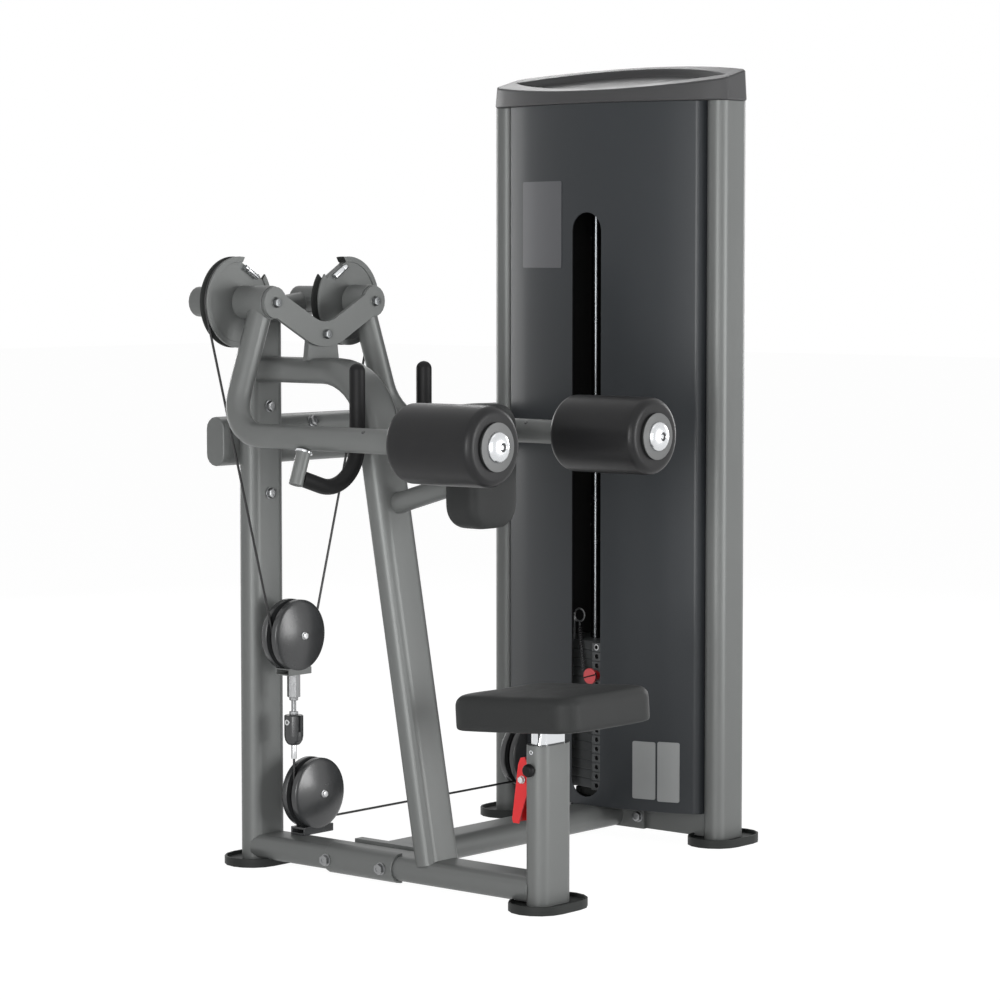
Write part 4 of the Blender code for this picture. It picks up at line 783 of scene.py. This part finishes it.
def stuffed(name, wide, long, side, crown, corner, under, place):
    """A vinyl pad: a rounded block, swollen by cloth under pressure, then fitted to its size."""
    deep = side + crown
    start = sizes().swell * 0.7
    obj = block(name, (0, 0, deep / 2), (wide - 2 * start, long - 2 * start, deep - start))
    edit(obj, "EDGE")
    pick("edges", lambda at, way: abs(way.z) > 0.9)
    bpy.ops.mesh.bevel(offset=corner - start, segments=8, affect="EDGES")
    pick("edges", lambda at, way: abs(way.z) < 0.1 and at.z > deep * 0.6)
    bpy.ops.mesh.bevel(offset=crown * 0.8, segments=5, affect="EDGES")
    pick("edges", lambda at, way: abs(way.z) < 0.1 and at.z < start + 0.001)
    bpy.ops.mesh.bevel(offset=under, segments=5, affect="EDGES")
    leave()
    obj.data.remesh_voxel_size = sizes().voxel
    only(obj)
    bpy.ops.object.voxel_remesh()
    rest = [v.co.copy() for v in obj.data.vertices]
    ways = [v.normal.copy() for v in obj.data.vertices]
    floor = min(v.z for v in rest) + 0.002
    group = obj.vertex_groups.new(name="board")
    group.add([i for i, v in enumerate(rest) if v.z < floor], 1.0, "REPLACE")
    bpy.ops.object.modifier_add(type="CLOTH")
    cloth = obj.modifiers[-1]
    cloth.settings.vertex_group_mass = "board"
    cloth.settings.use_pressure = True
    cloth.settings.uniform_pressure_force = PAD_PRESSURE
    cloth.settings.effector_weights.gravity = 0.0
    for moment in range(1, PAD_FRAMES + 1):
        bpy.context.scene.frame_set(moment)
    bpy.ops.object.modifier_apply(modifier=cloth.name)
    bpy.context.scene.frame_set(1)
    # Firm foam lets the cover swell outwards only, and evenly: the swelling is capped and spread.
    push = [min(max((vert.co - before).dot(way), 0.0), sizes().swell)
            for vert, before, way in zip(obj.data.vertices, rest, ways)]
    links = [tuple(e.vertices) for e in obj.data.edges]
    for _ in range(PAD_SPREAD):
        total, count = list(push), [1] * len(push)
        for one, two in links:
            total[one] += push[two]
            total[two] += push[one]
            count[one] += 1
            count[two] += 1
        push = [t / c for t, c in zip(total, count)]
    for vert, before, way, far in zip(obj.data.vertices, rest, ways, push):
        vert.co = before + way * far
    obj.vertex_groups.clear()
    modify(obj, "SMOOTH", factor=0.5, iterations=6)
    low = Vector([min(v.co[k] for v in obj.data.vertices) for k in range(3)])
    high = Vector([max(v.co[k] for v in obj.data.vertices) for k in range(3)])
    fit = Vector((wide, long, deep))
    only(obj)
    scale = Matrix.Diagonal((*(fit[k] / (high[k] - low[k]) for k in range(3)), 1.0))
    obj.matrix_world = place @ scale
    centre = Matrix.Translation((-(low.x + high.x) / 2, -(low.y + high.y) / 2, -low.z))
    obj.matrix_world = obj.matrix_world @ centre
    bpy.ops.object.transform_apply(location=True, rotation=True, scale=True)
    modify(obj, "SUBSURF", levels=1, render_levels=1)
    return smooth(obj, 80.0)


class MACHINE_OT_seat(bpy.types.Operator):
    """Seat pad, its chrome tube, the pull knob and the red lever"""
    bl_idname = "machine.seat"
    bl_label = "Seat"

    def execute(self, context):
        place = Matrix.Translation(SEAT_MIDDLE) @ Matrix.Rotation(-SEAT_TILT, 4, "X")
        pad = stuffed("seat_cushion", 0.275, 0.300, 0.049, 0.023, 0.045, 0.005, place)
        done(pad, "seat", "upholstery_vinyl", "vinyl", "seat_pad")
        tube = refined("seat_tube", 0.0008)
        for i in range(SEAT_HOLES):
            at = (-0.040, 0, KNOB_Z - SEAT_HOLE_PITCH * i)
            cutter = begin("hole", bpy.ops.mesh.primitive_cylinder_add, vertices=24, radius=0.0055,
                           depth=0.02, location=at, rotation=(0, math.pi / 2, 0))
            carve(tube, cutter)
        done(smooth(tube), "seat", "chrome_plate", "chrome", "seat_tube")
        done(refined("seat_lever", 0.0011), "lever", "red_powder_coat", "red_coat", "seat_lever")
        profile = rounded([(0, 0), (0.0088, 0), (0.0088, 0.003), (0.0125, 0.0045), (0.0125, 0.0112),
                           (0.009, 0.016), (0, 0.0162)], 0.0022)
        lathe("pull_knob", (-0.0503, 0, KNOB_Z), -X_AXIS, profile, 40, "frame", "dipped_rubber",
              "black_plastic", "seat_knob")
        tip = rounded([(0, -0.001), (0.0042, -0.001), (0.0042, 0.006), (0.002, 0.0085), (0, 0.0085)],
                      0.0012, 3)
        lathe("knob_pin_tip", (0.0500, 0, 0.2716), X_AXIS, tip, 24, "frame", "chrome_plate", "chrome")
        rim = hoop(0.0026, 0.0044, -0.001, 0.0009, 0.0005)
        lathe("post_eyelet", (-0.0500, 0, 0.3045), -X_AXIS, rim, 28, "frame", "chrome_plate", "chrome")
        return {"FINISHED"}


class MACHINE_OT_chest_pad(bpy.types.Operator):
    """Chest pad on its tube"""
    bl_idname = "machine.chest_pad"
    bl_label = "Chest pad"

    def execute(self, context):
        place = Matrix.Translation(CHEST_MIDDLE) @ Matrix.Rotation(math.pi / 2, 4, "X")
        pad = stuffed("chest_cushion", 0.143, 0.240, 0.066, 0.022, 0.048, 0.024, place)
        done(pad, "frame", "upholstery_vinyl", "vinyl", "chest_pad")
        return {"FINISHED"}


# Arms and handles.
GRIP_X = 0.097
GRIP_LOW = 0.766
GRIP_TOP = 1.030
GRIP_R = 0.0155
GRIP_BEND = 0.080
PEG_GRIP = 0.0535
CUT_TURN = math.radians(31)
CUT_DEPTH = 0.0715
BOLT_HEAD_R = 0.016
SLEEVE_TURN = math.radians(26)
SLEEVE_SLANT = math.radians(32)
SLEEVE_REACH = 0.0655
SLEEVE_FRONT = 0.0138


def cam_wheel(side, hand):
    """A grooved wheel with a flat rim, a dished web and a flat cut across its edge."""
    rim, rim_in, groove, half, hub = 0.090, 0.0790, 0.0820, 0.011, 0.034
    profile = [(0.0, -0.0084), (rim_in - 0.0005, -0.0084), (rim_in, -0.0088), (rim_in, -0.0106),
               (rim_in + 0.0005, -half), (rim - 0.0006, -half), (rim, -half + 0.0006), (rim, -0.0071),
               (rim - 0.0006, -0.0065), (groove + 0.0006, -0.0036), (groove, -0.0030), (groove, 0.0030),
               (groove + 0.0006, 0.0036), (rim - 0.0006, 0.0065), (rim, 0.0071), (rim, half - 0.0006),
               (rim - 0.0006, half), (rim_in + 0.0006, half), (rim_in, half - 0.0006),
               (rim_in - 0.0015, 0.0055), (rim_in - 0.004, 0.0050), (hub + 0.004, 0.0075), (hub, 0.0085),
               (0.031, 0.015), (0.0, 0.015)]
    at = (side * PIVOT_X, CAM_Y[side], PIVOT_Z)
    wheel = turned("cam_wheel_" + hand, at, Y_AXIS, profile, 128)
    cutter = block("notch", (0, 0, CUT_DEPTH + 0.02), (0.066, 0.1, 0.04))
    cutter.matrix_world = Matrix.Translation(at) @ Matrix.Rotation(-CUT_TURN * side, 4, "Y")
    carve(wheel, cutter)
    flat_faced(wheel, 32.0)
    done(wheel, hand + "_arm", "satin_powder_coat", "powder_coat", "cam_" + hand)
    # The groove is painted with the dark rubber finish up to the edge of the rear flange: painted shade of
    # the groove's depth.
    repaint(wheel, "moulded_rubber", lambda face: face.center.y > at[1] - 0.0068 and face.normal.y < 0.5
            and math.hypot(face.center.x - at[0], face.center.z - at[2]) > groove - 0.0004)


class MACHINE_OT_arms(bpy.types.Operator):
    """Swinging arms with their cams and rope ends"""
    bl_idname = "machine.arms"
    bl_label = "Arms"

    def execute(self, context):
        for side, hand in HANDS:
            body = hand + "_arm"
            arm = refined("arm_" + hand, 0.0010)
            pivot = Vector((side * PIVOT_X, 0, PIVOT_Z))
            # The plain bolt head of the CAD comes off, and a bolt is set there later.
            edit(arm)
            pick("faces", lambda at, way: at.y < PLATE_Y
                 and (Vector((at.x, 0, at.z)) - pivot).length < BOLT_HEAD_R)
            bpy.ops.mesh.delete(type="FACE")
            pick("edges", lambda at, way: abs(at.y - PLATE_Y) < 0.002
                 and (Vector((at.x, 0, at.z)) - pivot).length < BOLT_HEAD_R)
            bpy.ops.mesh.fill_holes(sides=0)
            leave()
            done(arm, body, "satin_powder_coat", "powder_coat", "arm_" + hand)
            cam_wheel(side, hand)
            # The rope's end: a crimped sleeve on the front of the web, along the cam's cut.
            at = pivot + Vector((-side * math.sin(SLEEVE_TURN), 0, math.cos(SLEEVE_TURN))) * SLEEVE_REACH
            at.y = CAM_Y[side] - SLEEVE_FRONT
            way = Vector((-side * math.cos(SLEEVE_SLANT), 0, -math.sin(SLEEVE_SLANT)))
            profile = rounded([(0, -0.020), (0.0056, -0.020), (0.0056, -0.012), (0.0048, -0.011),
                               (0.0048, -0.009), (0.0056, -0.008), (0.0056, 0.020), (0, 0.020)], 0.0009, 2)
            lathe("rope_sleeve_" + hand, at, way, profile, 28, body, "satin_chrome", "chrome")
            # A plastic plug in the tube's drain hole.
            spot = Vector((side * ARM_X - ARM_R * 0.70, 0.240, ARM_Z + ARM_R * 0.714))
            profile = rounded([(0, -0.002), (0.0036, -0.002), (0.0036, 0.0004), (0, 0.0009)], 0.0006, 3)
            lathe("tube_plug_" + hand, spot, (-0.7, 0, 0.714), profile, 20, body, "moulded_nylon",
                  "black_plastic")
        return {"FINISHED"}


class MACHINE_OT_rollers(bpy.types.Operator):
    """Foam rollers with their washers and domed nuts"""
    bl_idname = "machine.rollers"
    bl_label = "Rollers"

    def execute(self, context):
        near, far, radius, edge = -0.0711, 0.138, 0.075, 0.016
        profile = [(0.0246, near + 0.003), (0.030, near + 0.0006), (0.045, near)]
        for i in range(9):
            turn = math.radians(90 * i / 8)
            profile.append((radius - edge + edge * math.sin(turn), near + edge - edge * math.cos(turn)))
        middle_run = far - near - 2 * edge
        for i in range(1, 8):
            t = i / 8
            profile.append((radius + 0.0007 * math.sin(math.pi * t), near + edge + middle_run * t))
        for i in range(9):
            turn = math.radians(90 * i / 8)
            profile.append((radius - edge + edge * math.cos(turn), far - edge + edge * math.sin(turn)))
        profile += [(0.03, far), (0.0246, far - 0.003)]
        # From the foam outwards: a rubber spacer, a washer, a domed nut and the seal in the nut's mouth.
        face = near - 0.0062
        dome = [(0, face + 0.009), (0.0175, face + 0.009), (0.0175, face), (0.0285, face),
                (0.0287, face - 0.0012)]
        for i in range(1, 8):
            turn = math.radians(70 * i / 7)
            dome.append((0.0285 * math.cos(turn), face - 0.0012 - 0.0130 * math.sin(turn)))
        dome += [(0.0088, face - 0.0134), (0.0082, face - 0.0126), (0.0076, face - 0.0080),
                 (0.0048, face - 0.0080), (0.0044, face - 0.0106), (0, face - 0.0110)]
        seal = rounded([(0.0049, face - 0.0076), (0.0076, face - 0.0076), (0.0080, face - 0.0122),
                        (0.0070, face - 0.0126), (0.0049, face - 0.0110)], 0.0002, 2)
        fittings = (
            ("roller_spacer_", hoop(0.018, 0.0438, near + 0.002, near - 0.0044, 0.0006, 2), None,
             "moulded_rubber", "foot_rubber"),
            ("roller_washer_", hoop(0.018, 0.0452, near - 0.0043, face, 0.0005, 3), None,
             "dull_aluminium", "powder_coat"),
            ("roller_nut_", dome, None, "satin_chrome", "chrome"),
            ("nut_seal_", seal + seal[:1], 40, "moulded_nylon", "black_plastic"),
        )
        for side, hand in HANDS:
            middle = Vector((side * ARM_X, 0, ARM_Z))
            foam = lathe("foam_" + hand, middle, Y_AXIS, profile + profile[:1], 96, hand + "_roller",
                         "foam_skin", "foam", "roller_" + hand)
            for word, shape, sides, coat, slot in fittings:
                lathe(word + hand, middle, Y_AXIS, shape, sides, hand + "_arm", coat, slot,
                      "roller_cap_" + hand)
        return {"FINISHED"}


class MACHINE_OT_handles(bpy.types.Operator):
    """Handle pegs under the arms and their rubber grips"""
    bl_idname = "machine.handles"
    bl_label = "Handles"

    def execute(self, context):
        for side, hand in HANDS:
            body = hand + "_handle"
            line = arm_line(side)
            top = Vector((side * ARM_X, HANDLE_Y, ARM_Z)) + line * (ARM_R + 0.0003)
            peg = refined("handle_peg_" + hand, 0.0018, 3)
            done(peg, body, "satin_powder_coat", "powder_coat", "handle_peg_" + hand)
            collar = hoop(0.0142, 0.0172, 0.001, 0.0055, 0.0008, 3)
            lathe("peg_collar_" + hand, top, line, collar, 40, body, "chrome_plate", "chrome")
            low = Vector((side * GRIP_X, HANDLE_Y, GRIP_LOW))
            start = top + line * PEG_GRIP
            start = start + (low - start).normalized() * 0.007
            path = [tuple(p) for p in (start, low, (side * GRIP_X, HANDLE_Y, GRIP_TOP - GRIP_R))]
            points = bend(path, GRIP_BEND, 20)
            taper = [1.0]
            for i in range(1, 9):
                turn = math.radians(84 * i / 8)
                points.append(Vector((side * GRIP_X, HANDLE_Y, GRIP_TOP - GRIP_R * (1 - math.sin(turn)))))
                taper.append(math.cos(turn))
            grip = rope("grip_" + hand, points, GRIP_R, 32, taper)
            cutter = rope("cope", [top, top + line * 0.070], 0.0143, 32)
            carve(grip, cutter)
            done(smooth(grip, 50.0), body, "dipped_rubber", "grip", "handle_grip_" + hand)
        return {"FINISHED"}


def bend(points, radius, steps):
    """A path with its inner corners turned into arcs."""
    points = [Vector(p) for p in points]
    path = [points[0]]
    for before, corner, after in zip(points, points[1:], points[2:]):
        one = (before - corner).normalized()
        two = (after - corner).normalized()
        half = one.angle(two) / 2
        middle = corner + (one + two).normalized() * (radius / math.sin(half))
        start = corner + one * (radius / math.tan(half)) - middle
        end = corner + two * (radius / math.tan(half)) - middle
        sweep = start.angle(end)
        for i in range(steps + 1):
            t = i / steps
            mixed = start * math.sin((1 - t) * sweep) + end * math.sin(t * sweep)
            path.append(middle + mixed / math.sin(sweep))
    path.append(points[-1])
    return path


# Pulleys.  Each has its X and Z, its body, its CAD node, and its strap's two corners, wall and finish.
PULLEYS = {
    "float": (0.0, FLOAT_Z, "carriage", "pulley_carriage",
              (-0.0325, 0.3934), (0.0325, 0.4074), 0.0028, "satin_powder_coat"),
    "low": (ROUTE_R, LOW_Z, "frame", "pulley_housing_low",
            (0.010, 0.0629), (0.095, 0.079), 0.0045, "moulded_nylon"),
    "base": (STACK_X - ROUTE_R, LOW_Z, "frame", "pulley_housing_base",
             (0.722, 0.0629), (0.800, 0.079), 0.0045, "moulded_nylon"),
}
STRAP_DEEP = 0.039


def strap_of(word, low, high, wall):
    """A folded strap under a pulley: a box opened from end to end, so that only its walls are left."""
    wide, tall = high[0] - low[0], high[1] - low[1]
    middle = Vector(((low[0] + high[0]) / 2, CABLE_Y, (low[1] + high[1]) / 2))
    strap = block("strap_" + word, middle, (wide, STRAP_DEEP, tall))
    carve(strap, block("hollow", middle, (wide * 1.2, STRAP_DEEP - 2 * wall, tall - 2 * wall)))
    return flat_faced(soften(strap, 0.0009, 2))


class MACHINE_OT_pulleys(bpy.types.Operator):
    """Pulley covers, wheels, straps and the rope's connector"""
    bl_idname = "machine.pulleys"
    bl_label = "Pulleys"

    def execute(self, context):
        cover_r, inside, outside, dome = 0.0724, 0.0076, 0.0195, 0.0305
        shell = [(0, -inside), (0.066, -inside), (0.0705, -inside + 0.0006), (cover_r, -inside - 0.001),
                 (cover_r, -outside + 0.0020), (cover_r - 0.0006, -outside + 0.0006),
                 (cover_r - 0.0018, -outside - 0.0004)]
        for i in range(1, 15):
            r = (cover_r - 0.003) * (1 - i / 14)
            shell.append((r, -dome + (dome - outside) * (r / cover_r) ** 1.85))
        for word, (x, z, body, node, low, high, wall, coat) in PULLEYS.items():
            for end, way in (("front", Y_AXIS), ("back", -Y_AXIS)):
                lathe("cover_" + word + "_" + end, (x, CABLE_Y, z), way, shell, 80, body, "moulded_nylon",
                      "pulley_plastic", node)
            axle = rounded([(0, -0.0077), (0.008, -0.0077), (0.008, 0.0077), (0, 0.0077)], 0.0002, 2)
            lathe("axle_" + word, (x, CABLE_Y, z), Y_AXIS, axle, 32, body, "zinc_plate", "chrome")
            done(strap_of(word, low, high, wall), body, coat, "pulley_plastic", node)
        refine_all("dipped_rubber", "pulley_plastic", 0.0004, "sheave_floating", "sheave_low", "sheave_base",
                   "sheave_top_far", "sheave_top_mid")
        done(refined("carriage_adjuster", 0.0008), "carriage", "zinc_plate", "chrome", "carriage_adjuster")
        profile = rounded([(0, 0.3103), (0.0178, 0.3103), (0.0195, 0.3086), (0.0195, 0.2675),
                           (0.0178, 0.2585), (0.0145, 0.2528), (0.0107, 0.2494), (0.005, 0.2494),
                           (0.005, 0.221), (0, 0.221)], 0.0012, 3)
        connector = turned("connector", (0, CABLE_Y, 0), Z_AXIS, profile, 48)
        carve(connector, block("slot", (-0.003, CABLE_Y - 0.0195, 0.2945), (0.0055, 0.018, 0.036)))
        done(smooth(connector), "carriage", "moulded_nylon", "pulley_plastic", "connector_block")
        sleeve = hoop(0.0051, 0.0056, 0.2208, 0.2494, 0.0003, 2)
        lathe("rope_ferrule", (0, CABLE_Y, 0), Z_AXIS, sleeve, 28, "carriage", "bright_zinc", "chrome")
        return {"FINISHED"}


# Tower.
TOWER_X = 0.784
TOWER_TOP = 1.56
CAP_LIP = 1.566
CAP_DRAFT = (0.980, 0.990, 1)
# Blank plates start in front of the shroud, at BLANK_X, and are laid on it along X.  Each has its name,
# Y from and to, Z from and to, and finish.
BLANK_X = 0.60
BLANKS = (
    ("blank_plate", 0.5254, 0.6559, 1.2119, 1.3963, "anodised_sheet"),
    ("blank_label_a", 0.2831, 0.3349, 0.0886, 0.2113, "matt_film"),
    ("blank_label_b", 0.2321, 0.2788, 0.0857, 0.2131, "matt_film"),
)
STACK_PLATES = ("top_plate", "lifted_plate_1", "lifted_plate_2", "lifted_plate_3", "resting_plates")
RING_Y = 0.527
RING_Z = 0.4616
RING_R = 0.014
ROD_REACH = 0.067
PIN_HEAD_X = 0.690
PIN_HEAD_SLANT = math.radians(-16)


def inner_side(face):
    """True on the inner side of a shroud, which is painted black as shade."""
    out = face.center - Vector((STACK_X, TOWER_Y, face.center.z))
    return abs(face.normal.z) < 0.5 and face.normal.dot(out) < -0.3 * out.length


def in_pin_hole(face):
    """True in the pin holes of the plates, which are painted black as shade."""
    at = face.center
    return (abs(at.y - TOWER_Y) < 0.0075 and at.x < 0.77 and abs(face.normal.x) < 0.3
            and face.area < 4e-4)


def on_ring(face):
    """True on the lanyard's ring, which is zinc."""
    reach = math.hypot(face.center.y - RING_Y, face.center.z - RING_Z)
    return face.center.z > STACK_TOP + 0.03 and abs(reach - RING_R) < 0.003


class MACHINE_OT_tower(bpy.types.Operator):
    """Bent sheet shrouds, the tray cap and the plain plates on the front"""
    bl_idname = "machine.tower"
    bl_label = "Tower"

    def execute(self, context):
        refine_all("charcoal_powder_coat", "shroud", 0.0007, "front_shroud", "rear_shroud")
        # The inner sides of the shrouds are painted black: painted shade.
        for name in ("front_shroud_piece", "rear_shroud_piece"):
            repaint(bpy.data.objects[name], "flat_primer", inner_side)
        cap = refined("tower_cap", 0.0045, 4)
        # The moulding has a little draft: it is narrower at the top than at its lower edge.
        edit(cap, "VERT")
        pick("verts", lambda at, way: at.z > CAP_LIP)
        bpy.ops.transform.resize(value=CAP_DRAFT, center_override=(TOWER_X, TOWER_Y, TOWER_TOP))
        leave()
        done(flat_faced(cap), "frame", "formed_abs", "cap_plastic", "tower_cap")
        wall = bpy.data.objects["front_shroud_piece"]
        for name, y0, y1, z0, z1, coat in BLANKS:
            middle = (BLANK_X, (y0 + y1) / 2, (z0 + z1) / 2)
            sheet = begin(name, bpy.ops.mesh.primitive_plane_add, size=1.0, location=middle,
                          rotation=(0, -math.pi / 2, 0))
            edit(sheet, "VERT")
            bpy.ops.transform.resize(value=(1, y1 - y0, z1 - z0), center_override=middle)
            bpy.ops.mesh.bevel(offset=0.004, segments=4, affect="VERTICES")
            bpy.ops.mesh.select_all(action="SELECT")
            bpy.ops.mesh.inset(thickness=0.004)
            for i in range(9):
                cut_y = y0 + 0.005 + (y1 - y0 - 0.010) * i / 8
                bpy.ops.mesh.select_all(action="SELECT")
                bpy.ops.mesh.bisect(plane_co=(BLANK_X, cut_y, 1), plane_no=(0, 1, 0))
            leave()
            modify(sheet, "SHRINKWRAP", target=wall, wrap_method="PROJECT", use_project_x=True,
                   use_positive_direction=True, use_negative_direction=False, offset=0.0002)
            modify(sheet, "SOLIDIFY", thickness=0.0010, offset=1.0)
            done(smooth(sheet), "frame", coat, "powder_coat")
        return {"FINISHED"}


class MACHINE_OT_stack(bpy.types.Operator):
    """Weight plates, stem, guide rods and the selector pin"""
    bl_idname = "machine.stack"
    bl_label = "Weight stack"

    def execute(self, context):
        for node in STACK_PLATES:
            plate = refined(node, 0.0016, 2, False)
            done(plate, body_of(node), "coated_iron", "stack_iron", node)
            # The pin holes are painted black as shade.
            repaint(plate, "flat_primer", in_pin_hole)
            repaint(plate, "bright_zinc", on_ring)
        refine_all("coated_iron", "stack_iron", 0.0006, "selector_stem")
        # The guide rods take a darker steel: painted shade of the slot.
        refine_all("ground_steel", "chrome", 0.0006, "guide_rod_near", "guide_rod_far")
        bumper = hoop(0.0125, 0.030, 0.0630, 0.0886, 0.004, 4)
        for word, way in (("near", -1), ("far", 1)):
            lathe("stack_bumper_" + word, (STACK_X, TOWER_Y + way * ROD_REACH, 0), Z_AXIS, bumper, 40,
                  "frame", "moulded_rubber", "foot_rubber")
        rest = block("stack_rest", (0.796, TOWER_Y, 0.0713), (0.032, 0.222, 0.0168))
        done(flat_faced(soften(rest, 0.003, 3)), "frame", "moulded_rubber", "foot_rubber")
        ring = hoop(0.0046, 0.0066, -0.0004, 0.0008, 0.0004, 2)
        lathe("top_plate_eyelet", (NOSE_X, TOWER_Y, STACK_TOP - 0.010), -X_AXIS, ring, 32, "stack",
              "bright_zinc", "chrome")
        head = PIN_HEAD_X - NOSE_X
        profile = rounded([(0, head + 0.003), (0.0108, head + 0.003), (0.0108, -0.0003), (0.0045, -0.0003),
                           (0.0045, 0.096), (0.003, 0.098), (0, 0.098)], 0.0010, 3)
        lathe("selector_key", (NOSE_X, TOWER_Y, PIN_Z), X_AXIS, profile, 48, "pin", "red_powder_coat",
              "red_coat", "selector_pin")
        profile = rounded([(0, head), (0.0170, head), (0.0170, head + 0.0055), (0, head + 0.0055)], 0.0012, 3)
        knob = turned("selector_knob", (NOSE_X, TOWER_Y, PIN_Z), X_AXIS, profile, 48)
        carve(knob, block("slot", (PIN_HEAD_X - 0.0005, TOWER_Y, PIN_Z), (0.006, 0.05, 0.0030),
                          rotation=(PIN_HEAD_SLANT, 0, 0)))
        # The knob's paler red is a painted highlight on its face.
        done(smooth(knob), "pin", "moulded_acetal", "red_coat", "selector_pin")
        # The faces of the slot across the knob are painted black as shade.
        repaint(knob, "flat_primer", lambda face: abs(face.center.z - PIN_Z) < 0.008
                and 0.6903 < face.center.x < 0.693 and face.area < 2e-4)
        return {"FINISHED"}


# Bolts.

def hex_head(name, flats, height, washer):
    """A hexagon head with a rounded crown and a dimple, on a washer if it has a radius."""
    base = 0.002 if washer else 0.0
    obj = begin(name, bpy.ops.mesh.primitive_cylinder_add, vertices=6, radius=flats / math.sqrt(3),
                depth=height, location=(0, 0, base + height / 2))
    edit(obj)
    pick("faces", lambda at, way: way.z > 0.9)
    bpy.ops.mesh.bevel(offset=flats * 0.09, segments=2, affect="EDGES")
    pick("faces", lambda at, way: way.z > 0.99)
    bpy.ops.mesh.inset(thickness=flats * 0.16)
    bpy.ops.mesh.inset(thickness=flats * 0.02)
    bpy.ops.mesh.extrude_region_move(TRANSFORM_OT_translate={"value": (0, 0, -height * 0.12)})
    leave()
    if washer:
        ring = begin(name + "_washer", bpy.ops.mesh.primitive_cylinder_add, vertices=40, radius=washer,
                     depth=base, location=(0, 0, base / 2))
        soften(ring, 0.0005, 2)
        only(ring)
        obj.select_set(True)
        bpy.context.view_layer.objects.active = obj
        bpy.ops.object.join()
    return smooth(obj, 30.0)


class MACHINE_OT_bolts(bpy.types.Operator):
    """Bolts, nuts and screws"""
    bl_idname = "machine.bolts"
    bl_label = "Bolts"

    def execute(self, context):
        size = sizes()
        big = hex_head("bolt", size.bolt_flats, size.bolt_head, size.washer)
        bare = hex_head("bare_bolt", size.bolt_flats * 0.87, size.bolt_head * 1.2, 0.0)
        small = hex_head("small_bolt", 0.012, 0.005, 0.0075)
        profile = rounded([(0, 0), (0.0058, 0), (0.0058, 0.0019), (0.0030, 0.0019), (0.0030, 0.0004),
                           (0, 0.0004)], 0.0004, 2)
        screw = turned("screw", (0, 0, 0), Z_AXIS, profile, 28)
        rows = [(big, "post_bolt_a", (0, 0.7328, 0.934), -Y_AXIS, "frame"),
                (big, "post_bolt_b", (0, 0.7328, 0.7576), -Y_AXIS, "frame"),
                (big, "flange_bolt_a", (0.7467, 0.365, 0.0385), -X_AXIS, "frame"),
                (big, "flange_bolt_b", (0.7467, 0.545, 0.0385), -X_AXIS, "frame"),
                (big, "saddle_bolt_a", (-0.0549, 0.381, 0.0376), -X_AXIS, "frame"),
                (big, "saddle_bolt_b", (-0.0549, 0.528, 0.0376), -X_AXIS, "frame"),
                (big, "brace_bolt", (0.1794, 0.7840, 0.8950), (0, -0.95, 0.31), "frame"),
                (bare, "plate_bolt", (0, PLATE_Y, 1.082), -Y_AXIS, "frame"),
                (small, "lever_bolt_a", (-0.0228, 0.045, 0.245), -X_AXIS, "lever"),
                (small, "lever_bolt_b", (0.0228, 0.045, 0.245), X_AXIS, "lever"),
                (screw, "connector_screw", (-0.0188, CABLE_Y, 0.2965), -X_AXIS, "carriage")]
        for side, hand in HANDS:
            at = (side * PIVOT_X, PLATE_Y, PIVOT_Z)
            rows.append((bare, "pivot_bolt_" + hand, at, -Y_AXIS, hand + "_arm"))
        for word, (x, z, body, *_) in PULLEYS.items():
            for end, way in (("front", -1), ("back", 1)):
                at = (x, CABLE_Y + way * 0.0300, z)
                rows.append((small, "axle_bolt_" + word + "_" + end, at, Y_AXIS * way, body))
        for master, name, at, way, body in rows:
            coat = {big: "zinc_plate", bare: "phosphated_steel"}.get(master, "bright_zinc")
            done(place_copy(master, name, at, way), body, coat, "chrome")
        for master in (big, bare, small, screw):
            bpy.data.objects.remove(master, do_unlink=True)
        return {"FINISHED"}


OPERATORS = (
    MACHINE_OT_stage,
    MACHINE_OT_lanyard,
    MACHINE_OT_cables,
    MACHINE_OT_frame,
    MACHINE_OT_seat,
    MACHINE_OT_chest_pad,
    MACHINE_OT_arms,
    MACHINE_OT_rollers,
    MACHINE_OT_handles,
    MACHINE_OT_pulleys,
    MACHINE_OT_tower,
    MACHINE_OT_stack,
    MACHINE_OT_bolts,
)


class MACHINE_PT_panel(bpy.types.Panel):
    """Lists the machine's pieces, sizes and colours"""
    bl_idname = "MACHINE_PT_panel"
    bl_label = "Lateral raise machine"
    bl_space_type = "VIEW_3D"
    bl_region_type = "UI"
    bl_category = "Machine"

    def draw(self, context):
        for group in (context.scene.machine_sizes, context.scene.machine_colours):
            for key in group.__annotations__:
                self.layout.prop(group, key)
        for operator in OPERATORS:
            self.layout.operator(operator.bl_idname)


CLASSES = (MachineColours, MachineSizes, *OPERATORS, MACHINE_PT_panel)


def register():
    for item in CLASSES:
        bpy.utils.register_class(item)
    bpy.types.Scene.machine_colours = PointerProperty(type=MachineColours)
    bpy.types.Scene.machine_sizes = PointerProperty(type=MachineSizes)


def unregister():
    del bpy.types.Scene.machine_sizes
    del bpy.types.Scene.machine_colours
    for item in reversed(CLASSES):
        bpy.utils.unregister_class(item)


def main():
    register()
    for operator in OPERATORS:
        group, name = operator.bl_idname.split(".")
        getattr(getattr(bpy.ops, group), name)()


if __name__ == "__main__":
    main()
